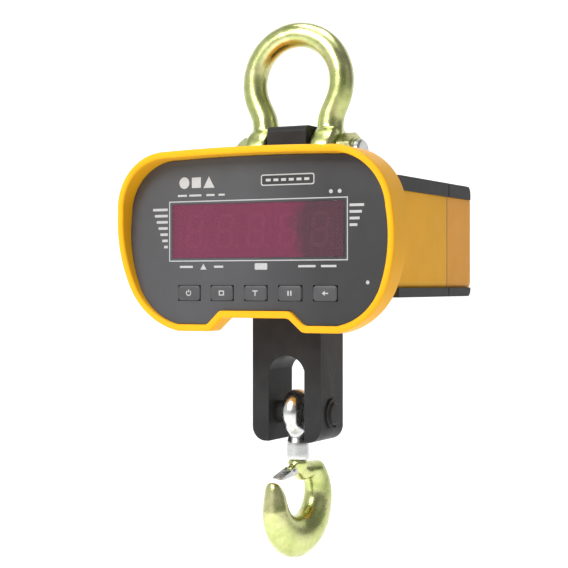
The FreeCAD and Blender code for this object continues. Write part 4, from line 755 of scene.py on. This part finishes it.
# ---------------------------------------------------------------- swivel, hook and latch
class CRANE_SCALE_OT_eye(bpy.types.Operator):
    """Forge the eye that hangs on the hook pin, with the swivel boss below it."""

    bl_idname = "crane_scale.eye"
    bl_label = "Hook eye"

    def execute(self, context):
        low, high, _ = place_of("hook_eye")
        pin_axis = Vector((0, 0, place_of("hook_pin")[2].z))
        half, hole, rim, roll = 9 * MM, 9.5 * MM, 12.5 * MM, 7 * MM
        out = (high.y - low.y) / 2 - roll
        profile = [(hole, -half), (rim, -half)]
        for step in range(9):
            turn = math.pi * (step / 8 - 0.5)
            profile.append((out + roll * math.cos(turn), half * math.sin(turn)))
        profile += [(rim, half), (hole, half)]
        wide, narrow, top = 10 * MM, 8.5 * MM, low.z + 25 * MM
        boss = turned([(CORE, low.z), (8.8 * MM, low.z), (wide, low.z + 1.2 * MM), (wide, low.z + 16 * MM),
                       (narrow, low.z + 20 * MM), (narrow, top), (CORE, top)])
        solids = joined([turned(profile, "x", pin_axis), boss])
        forging = forge(mesh_object("eye_forging", *solids, "bright_steel", "hook_eye"))
        pin_bore, stem_bore = 10.05 * MM, 5.08 * MM
        bored(forging, [turned([(pin_bore, -20 * MM), (pin_bore, 20 * MM)], "x", pin_axis),
                        turned([(stem_bore, low.z - 2 * MM), (stem_bore, low.z + 4 * MM)])])
        wear_slot(forging, "bright_steel")
        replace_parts(forging, "hook_eye")
        dress("swivel_washer", "swivel_nut")
        return {"FINISHED"}


HOOK_TURN = math.radians(-10)
HOOK_THICK = 18.75 * MM
HOOK_BOWL = 20 * MM
# round the bowl from the neck: angle, then the bar's radial and lateral half sizes as shares of its thickness
SWELL = ((52, 0.61, 0.56), (65, 0.645, 0.58), (78, 0.68, 0.6), (91, 0.72, 0.62), (105, 0.76, 0.64),
         (118, 0.81, 0.665), (130, 0.86, 0.69), (143, 0.91, 0.71), (155, 0.95, 0.73), (168, 0.985, 0.745),
         (180, 1.0, 0.75), (192, 0.98, 0.735), (205, 0.93, 0.71), (218, 0.86, 0.68), (230, 0.78, 0.65),
         (242, 0.7, 0.62), (252, 0.64, 0.59))
# up the tip from the bowl: outwards and up in millimetres, slope in degrees, radial and lateral shares
TIP = ((1, 1, -183, 0.5, 0.5), (1.8, 5, -187, 0.43, 0.45), (2.5, 8, -190, 0.36, 0.4),
       (3.4, 11, -192, 0.26, 0.31), (4, 12.7, -194, 0.14, 0.18))


def hook_section(ahead, height, slope, radial, lateral, steps=28):
    """A ring across the hook's bar, a little fuller on the side that carries the load."""
    slope = math.radians(slope)
    across = Vector((0, math.cos(slope), math.sin(slope)))
    ring = []
    for step in range(steps):
        turn = 2 * math.pi * step / steps
        wide = HOOK_THICK * lateral * math.sin(turn) * (1 + 0.06 * max(0.0, math.cos(turn)))
        ring.append(Vector((wide, -ahead, height)) + across * HOOK_THICK * radial * math.cos(turn))
    return ring


def hook_bar(neck_z, centre_z):
    """The hook's bar from the neck round the bowl to the tip."""
    shift = 3 * MM
    rings = [
        hook_section(0, neck_z - 3.5 * MM, 0, 0.42, 0.41),
        hook_section(-1.5 * MM, neck_z - 6.5 * MM, 22, 0.44, 0.44),
        hook_section(-8 * MM, centre_z + 18.5 * MM, 60, 0.51, 0.52),
    ]
    for angle, radial, lateral in SWELL:
        turn = math.radians(angle)
        reach = HOOK_BOWL + radial * HOOK_THICK
        y, z = shift - reach * math.sin(turn), centre_z + reach * math.cos(turn)
        rings.append(hook_section(y, z, 90 - angle, radial, lateral))
    arm = shift + HOOK_BOWL + 0.52 * HOOK_THICK
    for out, up, slope, radial, lateral in TIP:
        rings.append(hook_section(arm + out * MM, centre_z + up * MM, slope, radial, lateral))
    return loft(rings)


def hook_collar(neck_z):
    """The round collar under the nut."""
    neck, wide, foot = 8.4 * MM, 9 * MM, neck_z - 5 * MM
    return turned([(CORE, neck_z), (neck, neck_z), (wide, neck_z - 0.8 * MM), (wide, neck_z - 4.2 * MM),
                   (7.5 * MM, foot), (CORE, foot)])


def latch_lug(top, foot):
    """The lug ahead of the neck that holds the latch's pin."""
    near, far, chamfer = -12 * MM, -14 * MM, 2 * MM
    side = [(0.0, foot), (near, foot), (far, foot + chamfer), (far, top - chamfer), (near, top), (0.0, top)]
    return loft([[Vector((x, y, z)) for y, z in side] for x in (-3.5 * MM, 3.5 * MM)])


class CRANE_SCALE_OT_hook(bpy.types.Operator):
    """Forge the swivel hook with its neck, swollen bowl and blunt tip, and fold its latch."""

    bl_idname = "crane_scale.hook"
    bl_label = "Hook"

    def execute(self, context):
        low, high, _ = place_of("hook")
        neck_z = place_of("hook_eye")[0].z - 0.3 * MM
        centre_z = low.z + 2 * HOOK_THICK + HOOK_BOWL
        lug = latch_lug(neck_z - 4 * MM, neck_z - 12 * MM)
        shapes = [hook_bar(neck_z, centre_z), hook_collar(neck_z), lug]
        forging = forge(mesh_object("hook_forging", *joined(shapes), "plated_steel", "hook"))
        forging.data.transform(Matrix.Rotation(HOOK_TURN, 4, "Z"))
        wear_slot(forging, "plated_steel")
        stem_radius, stem_foot = 5 * MM, neck_z - 1 * MM
        stem_profile = [(CORE, stem_foot), (stem_radius, stem_foot), (stem_radius, high.z), (CORE, high.z)]
        stem = mesh_object("hook_stem", *turned(stem_profile), "bright_steel", "hook")
        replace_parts(forging, "hook")
        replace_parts(stem, "hook")
        self.latch()
        dress("latch_pin", width=details().edge * 0.4)
        return {"FINISHED"}

    def latch(self):
        """A folded strip: two cheeks round the pin that taper to the end of the flap."""
        strip, round_end, half, reach = 1.4 * MM, 3.4 * MM, 5.2 * MM, 20 * MM
        near = -reach + 2 * MM
        cheek = []
        for step in range(13):
            turn = math.pi * (step / 12 - 0.5)
            cheek.append((round_end * math.cos(turn), round_end * math.sin(turn)))
        cheek += [(-reach + 3 * MM, round_end), (-reach, round_end - strip * 0.8),
                  (-reach + 1 * MM, round_end - 2 * strip), (-8 * MM, -round_end * 0.5)]
        flap = [(-5 * MM, round_end), (near, round_end), (-reach, round_end - strip * 0.7),
                (-reach, round_end - 1.6 * strip), (near, round_end - strip), (-5 * MM, round_end - strip)]
        solids = []
        left, right, across = (strip - half, -half), (half - strip, half), (-half, half)
        for side, ends in ((cheek, left), (cheek, right), (flap, across)):
            solids.append(loft([[Vector((x, y, z)) for y, z in side] for x in ends]))
        latch = mesh_object("latch_strip", *joined(solids), "bright_steel", "safety_latch")
        pin = Matrix.Translation(place_of("latch_pin")[2])
        slope = Matrix.Rotation(math.radians(20), 4, "X")
        latch.data.transform(pin @ Matrix.Rotation(HOOK_TURN, 4, "Z") @ slope)
        add_bevel(latch, 0.3 * MM)
        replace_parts(latch, "safety_latch")


# ---------------------------------------------------------------- housing
class CRANE_SCALE_OT_housing(bpy.types.Operator):
    """Dress the display surround, the middle housing, the rear cover and the battery door."""

    bl_idname = "crane_scale.housing"
    bl_label = "Housing"

    def execute(self, context):
        dress("front_housing", width=details().shell_edge)
        dress("mid_housing", width=details().edge)
        dress("rear_cover", "battery_door", width=details().edge * 0.8)
        # the rear cover and the battery door take the coat darkened as painted shade
        for node in ("rear_cover", "battery_door"):
            NODES[node].data.materials[0] = material("rear_coat")
        return {"FINISHED"}


class CRANE_SCALE_OT_rubber(bpy.types.Operator):
    """Dress the bumpers, gaskets, seals, antenna and socket cap; the bumpers are black strips that paint the
    shade along the body's top and bottom edges.
    """

    bl_idname = "crane_scale.rubber"
    bl_label = "Rubber"

    def execute(self, context):
        # painted shade: the side and cover bumpers are black strips set where the body's top and bottom edges
        # fall into shade
        dress("side_bumpers", "cover_bumpers", width=details().edge * 1.3)
        dress("top_seal", "bottom_seal", "front_gasket", "rear_gasket")
        dress("antenna", "socket_cap", width=details().edge * 0.4)
        return {"FINISHED"}


# ---------------------------------------------------------------- display panel
# how far the window's middle lies above the middle of the panel
WINDOW_RISE = 6.2 * MM


def printed(name, shapes, lift=0.0, slot="print"):
    """Flat marks on the panel's face, lifted a little where they lie on others."""
    depth = details().print_depth
    front = place_of("display_window")[0].y - depth - lift
    plates(name, shapes, front, depth, slot, "scale_body")


def dashes(z, thick, places):
    """A row of bars, from the middle and length of each in millimetres."""
    return [bar(x * MM, z, wide * MM, thick * MM) for x, wide in places]


class CRANE_SCALE_OT_panel(bpy.types.Operator):
    """Dress the display panel and print its lines, fins and plain marks."""

    bl_idname = "crane_scale.panel"
    bl_label = "Panel"

    def execute(self, context):
        dress("front_panel", width=details().edge * 0.3)
        low, high, middle = place_of("display_window")
        lines = frame_bars(middle.x, middle.z, high.x - low.x + 7 * MM, high.z - low.z + 6 * MM, 0.9 * MM)
        for side, edge_x, count, longest, step in ((-1, low.x, 7, 15, 1.9), (1, high.x, 4, 13, 2)):
            for index in range(count):
                length = (longest - step * index) * MM
                x = edge_x + side * (5 * MM + length / 2)
                lines.append(bar(x, high.z - (4 + 5.4 * index) * MM, length, 2.2 * MM))
        printed("panel_lines", lines)

        face = middle.z - WINDOW_RISE
        badge_z, upper_z, lower_z = face + 48 * MM, face + 37 * MM, face - 24.5 * MM
        foot, tip = badge_z - 4.8 * MM, badge_z + 5 * MM
        marks = [disc(-70 * MM, badge_z, 5 * MM), bar(-58 * MM, badge_z, 9 * MM, 9 * MM),
                 [(-51 * MM, foot), (-40 * MM, foot), (-45.5 * MM, tip)]]
        marks += dashes(upper_z, 1.7, ((-72, 9), (-59, 12), (-44, 8), (-33, 6)))
        marks += [disc(x * MM, upper_z, 1.7 * MM) for x in (70, 78)]
        marks += dashes(lower_z, 1.9, ((-68, 13), (-36, 9), (48, 16), (68, 14)))
        foot, tip = lower_z - 2.4 * MM, lower_z + 2.6 * MM
        marks.append([(-54 * MM, foot), (-48 * MM, foot), (-51 * MM, tip)])
        marks.append(rounded_shape(5 * MM, lower_z, 12 * MM, 5.5 * MM, 1 * MM))
        marks.append(disc(103 * MM, face - 38 * MM, 1.6 * MM))
        printed("panel_marks", marks)

        label_x = 30 * MM
        printed("panel_label", [rounded_shape(label_x, badge_z, 50 * MM, 9.5 * MM, 2 * MM)])
        field = rounded_shape(label_x, badge_z, 48 * MM, 7.5 * MM, 1.4 * MM)
        printed("panel_label_field", [field], 0.05 * MM, "dark_print")
        printed("panel_label_bars", dashes(badge_z, 2.2, [(12 + 7.2 * k, 4.6) for k in range(6)]), 0.1 * MM)
        return {"FINISHED"}


def seven_segments(x, z, wide, high, line, lean=0.1):
    """The seven bars of a digit, with mitred ends, leaning a little."""
    half = high / 2
    bars = []

    def bar_between(x0, z0, x1, z1):
        along = Vector((x1 - x0, z1 - z0)).normalized()
        side = Vector((-along.y, along.x)) * line / 2
        start = Vector((x0, z0)) + along * line * 0.1
        end = Vector((x1, z1)) - along * line * 0.1
        points = [start, start + along * line / 2 - side, end - along * line / 2 - side, end,
                  end - along * line / 2 + side, start + along * line / 2 + side]
        bars.append([(x + p.x + lean * p.y, z + p.y) for p in points])

    for level in (-half, 0.0, half):
        bar_between(-wide / 2, level, wide / 2, level)
    for side in (-wide / 2, wide / 2):
        bar_between(side, -half, side, 0.0)
        bar_between(side, 0.0, side, half)
    return bars


class CRANE_SCALE_OT_display(bpy.types.Operator):
    """Make the red window and the five digits behind it."""

    bl_idname = "crane_scale.display"
    bl_label = "Display"

    def execute(self, context):
        dress("display_window", width=details().edge * 0.3)
        dress("display_digits", "display_board", "keypad_board", "key_switches")
        low, high, middle = place_of("display_digits")
        digits, wide, tall, line, depth = 5, 13 * MM, 26 * MM, 3.4 * MM, 0.2 * MM
        pitch = (high.x - low.x) / digits
        shapes = []
        for index in range(digits):
            x = low.x + pitch * (index + 0.5)
            shapes += seven_segments(x - 1.5 * MM, middle.z, wide, tall, line)
            shapes.append(disc(x + 9.5 * MM, middle.z - tall / 2, 1.8 * MM))
        plates("digit_segments", shapes, low.y - depth, depth, "segment", "scale_body")
        return {"FINISHED"}


# ---------------------------------------------------------------- keys
KEY_NAMES = ("power", "zero", "tare", "hold", "enter")
# the flange round a key behind the panel, which its cap leaves out
KEY_FLANGE = 1.5 * MM
# from the key's edge over its crowned face, in millimetres: inwards from the side, behind the front
KEY_CROWN = ((0, 0.9), (0.25, 0.5), (0.8, 0.25), (2.2, 0.12), (4.2, 0.04), (5.6, 0))


def key_icon(name, x, z, size):
    """Plain pictures for the keys, as lists of points."""

    def block(out, up, wide, high):
        return bar(x + size * out, z + size * up, size * wide, size * high)

    turns = [math.radians(130 + 280 * step / 16) for step in range(17)]
    arc = [(x + size * math.cos(turn), z + size * math.sin(turn)) for turn in turns]
    arc += [(x + size * 0.66 * math.cos(turn), z + size * 0.66 * math.sin(turn)) for turn in reversed(turns)]
    arrow = [(x - size, z), (x, z - size * 0.8), (x, z + size * 0.8)]
    return {
        "power": [arc, block(0, 0.7, 0.36, 0.9)],
        "zero": [block(-0.8, 0, 0.4, 1.6), block(0.8, 0, 0.4, 1.6),
                 block(0, 0.65, 1.2, 0.35), block(0, -0.65, 1.2, 0.35)],
        "tare": [block(0, 0.7, 2, 0.36), block(0, -0.2, 0.4, 1.4)],
        "hold": [block(-0.5, 0, 0.5, 1.6), block(0.5, 0, 0.5, 1.6)],
        "enter": [arrow, block(0.6, 0, 1.2, 0.4)],
    }[name]


class CRANE_SCALE_OT_keys(bpy.types.Operator):
    """Mould the five keys, each with a crowned face and a printed picture."""

    bl_idname = "crane_scale.keys"
    bl_label = "Keys"

    def execute(self, context):
        for name in KEY_NAMES:
            node = "key_" + name
            low, high, middle = place_of(node)
            wide, tall = high.x - low.x - 2 * KEY_FLANGE, high.z - low.z - 2 * KEY_FLANGE
            rings = []
            crown = [(inset * MM, low.y + back * MM) for inset, back in KEY_CROWN]
            for inset, y in [(0, high.y - 2 * MM)] + crown:
                outline = rounded_rectangle(wide - 2 * inset, tall - 2 * inset, max(3 * MM - inset, 0.4 * MM))
                rings.append([Vector((middle.x + x, y, middle.z + z)) for x, z in outline])
            cap = mesh_object(node + "_cap", *loft(rings), "key_rubber", node)
            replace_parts(cap, node)
            icon = key_icon(name, middle.x, middle.z, 2.6 * MM)
            plates(node + "_picture", icon, low.y - 0.02 * MM, 0.3 * MM, "print", node)
        return {"FINISHED"}


# ---------------------------------------------------------------- fittings
class CRANE_SCALE_OT_fittings(bpy.types.Operator):
    """Dress the thumb screw, the charging socket, the antenna's nut, the screws and what is inside."""

    bl_idname = "crane_scale.fittings"
    bl_label = "Fittings"

    def execute(self, context):
        self.thumb_screw()
        self.socket_screws("cover_screws", "rear_screw")
        dress("charge_socket", "antenna_nut", width=details().edge * 0.4)
        done = {"door_screw", "charge_socket", "antenna_nut", "cover_screws"}
        finished = {made.name for made in MATERIALS.values()}
        for node in [node for node in NODES if NODES[node].data.materials and node not in done]:
            finish = NODES[node].data.materials[0]
            if finish is None or finish.name not in finished:
                dress(node)
        return {"FINISHED"}

    def thumb_screw(self):
        """A knob with a fluted rim."""
        low, high, middle = place_of("door_screw")
        knob, flutes = (high.x - low.x) / 2, 20

        def fluted(radius, turn):
            if radius < knob * 0.85:
                return radius
            return radius - knob * 0.045 * (0.5 + 0.5 * math.cos(flutes * turn))

        front = ((0.35, 0), (0.1, 0.5), (0, 1.2))
        rear = ((0, 1.6), (0.08, 0.6), (0.2, 0.1), (0.45, 0), (0.5, 0.5))
        profile = [(knob * (1 - inward), low.y + depth * MM) for inward, depth in front]
        profile += [(knob * (1 - inward), high.y - depth * MM) for inward, depth in rear]
        shape = turned(profile, "y", Vector((middle.x, 0, middle.z)), 160, fluted)
        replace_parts(mesh_object("thumb_screw_knob", *shape, "black_rubber", "door_screw"), "door_screw")

    def socket_screws(self, node, name):
        """Four pan heads with a hexagon socket, at the corners of a node."""
        low, high, middle = place_of(node)
        head, shank, socket, top = 3.7 * MM, 2 * MM, 1.8 * MM, high.y
        profile = [(shank, low.y), (shank, top - 3.5 * MM), (head, top - 3.5 * MM), (head, top - 1.4 * MM),
                   (head * 0.9, top - 0.5 * MM), (head * 0.68, top), (socket, top), (1.7 * MM, top - 2 * MM)]

        def socketed(radius, turn):
            return radius * hex_reach(turn) if radius < shank else radius

        for index, (x_sign, z_sign) in enumerate(((-1, -1), (1, -1), (-1, 1), (1, 1))):
            x = middle.x + x_sign * ((high.x - low.x) / 2 - head)
            z = middle.z + z_sign * ((high.z - low.z) / 2 - head)
            shape = turned(profile, "y", Vector((x, 0, z)), 36, socketed)
            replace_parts(mesh_object(f"{name}_{index}", *shape, "bright_steel", BODY_OF[node]), node)


# ---------------------------------------------------------------- stage
FOCAL_LENGTH = 92.3
# where the camera aims: along its own right, and up from the shackle's crown
AIM_SIDE, AIM_HEIGHT = -0.0125, -0.2113
# the sheet's profile: distance behind the scale and height over the floor, which lies below the hook
SHEET = ((-4, 0), (1.2, 0), (1.9, 0.1), (2.3, 0.45), (2.45, 1.0), (2.5, 4.0))
FLOOR_DROP = 0.16


class CRANE_SCALE_OT_stage(bpy.types.Operator):
    """Set the camera, the pale floor and the soft lights."""

    bl_idname = "crane_scale.stage"
    bl_label = "Stage"

    def execute(self, context):
        scene = context.scene
        azimuth = details().camera_azimuth
        side = Vector((math.cos(azimuth), math.sin(azimuth), 0))
        back = Vector((math.sin(azimuth), -math.cos(azimuth), 0))
        scene.camera = self.camera(side * AIM_SIDE + Vector((0, 0, AIM_HEIGHT)), back)
        scene.world = self.studio(side)
        scene.view_settings.view_transform = "Standard"
        self.backdrop(azimuth)

        target = Vector((0, 0, -0.2))
        for name, where, size, power in (
            ("key_light", side * -0.9 + back * 1.1 + Vector((0, 0, 0.7)), 0.8, 24),
            ("fill_light", side * 1.3 + back * 0.9 + Vector((0, 0, 0.3)), 1.0, 0.5),
            ("top_light", back * 0.1 + Vector((0, 0, 1.5)), 1.2, 16),
        ):
            lamp = bpy.data.lights.new(name, "AREA")
            lamp.size = size
            lamp.energy = power
            light = linked(name, lamp)
            light.location = where
            light.rotation_euler = (target - where).to_track_quat("-Z", "Y").to_euler()
        return {"FINISHED"}

    def camera(self, aim, back):
        """A level camera that aims at a point, from the side that back leads to."""
        lens = bpy.data.cameras.new("camera")
        lens.lens = FOCAL_LENGTH
        lens.clip_start = 0.05
        camera = linked("camera", lens)
        camera.location = aim + back * details().camera_distance
        camera.rotation_euler = (-back).to_track_quat("-Z", "Y").to_euler()
        return camera

    def studio(self, side):
        """A grey surround that brightens towards the left."""
        world = bpy.data.worlds.new("studio")
        world.use_nodes = True
        nodes, links = world.node_tree.nodes, world.node_tree.links
        direction = nodes.new("ShaderNodeTexCoord").outputs["Generated"]
        across = nodes.new("ShaderNodeVectorMath")
        across.operation = "DOT_PRODUCT"
        across.inputs[1].default_value = -side
        links.new(direction, across.inputs[0])
        band = nodes.new("ShaderNodeValToRGB")
        links.new(across.outputs["Value"], band.inputs["Fac"])
        dark, bright = band.color_ramp.elements
        dark.color = (0.32, 0.32, 0.32, 1)
        dark.position = 0.1
        bright.color = (1, 1, 1, 1)
        links.new(band.outputs["Color"], nodes["Background"].inputs["Color"])
        nodes["Background"].inputs["Strength"].default_value = 0.7
        return world

    def backdrop(self, azimuth):
        """A white sheet under the scale that curves up behind it."""
        floor_z = CAD_BOX[0][2] - FLOOR_DROP
        verts = [Vector((x, y, floor_z + z)) for y, z in SHEET for x in (-5, 5)]
        faces = [(2 * k, 2 * k + 1, 2 * k + 3, 2 * k + 2) for k in range(len(SHEET) - 1)]
        mesh = bare_mesh("backdrop", verts, faces)
        backdrop = linked("backdrop", mesh)
        backdrop.rotation_euler = (0, 0, azimuth)
        mesh.shade_smooth()
        paper = Finish("paper", (0.93, 0.93, 0.93), 0.9, Emission_Color=(1, 1, 1, 1), Emission_Strength=0.42)
        mesh.materials.append(paper.material)


BUILDERS = (
    CRANE_SCALE_OT_stage,
    CRANE_SCALE_OT_shackle,
    CRANE_SCALE_OT_yoke,
    CRANE_SCALE_OT_eye,
    CRANE_SCALE_OT_hook,
    CRANE_SCALE_OT_housing,
    CRANE_SCALE_OT_rubber,
    CRANE_SCALE_OT_panel,
    CRANE_SCALE_OT_display,
    CRANE_SCALE_OT_keys,
    CRANE_SCALE_OT_fittings,
)


class CRANE_SCALE_PT_sidebar(bpy.types.Panel):
    """The scale's pieces and settings."""

    bl_label = "Crane Scale"
    bl_idname = "CRANE_SCALE_PT_sidebar"
    bl_space_type = "VIEW_3D"
    bl_region_type = "UI"
    bl_category = "Crane Scale"

    def draw(self, context):
        for group in (context.scene.crane_scale_finishes, context.scene.crane_scale_details):
            box = self.layout.box()
            for prop in group.bl_rna.properties:
                if prop.identifier not in {"rna_type", "name"}:
                    box.prop(group, prop.identifier)
        for builder in BUILDERS:
            self.layout.operator(builder.bl_idname)


CLASSES = (ScaleFinishes, ScaleDetails, *BUILDERS, CRANE_SCALE_PT_sidebar)


def register():
    """Add the settings, the operators and the sidebar panel."""
    for cls in CLASSES:
        bpy.utils.register_class(cls)
    bpy.types.Scene.crane_scale_finishes = bpy.props.PointerProperty(type=ScaleFinishes)
    bpy.types.Scene.crane_scale_details = bpy.props.PointerProperty(type=ScaleDetails)


def unregister():
    """Take them away again, last one first."""
    del bpy.types.Scene.crane_scale_details
    del bpy.types.Scene.crane_scale_finishes
    for cls in reversed(CLASSES):
        bpy.utils.unregister_class(cls)


def main():
    """Register the add-on, then build everything."""
    register()
    for builder in BUILDERS:
        group, name = builder.bl_idname.split(".")
        getattr(getattr(bpy.ops, group), name)()


if __name__ == "__main__":
    main()
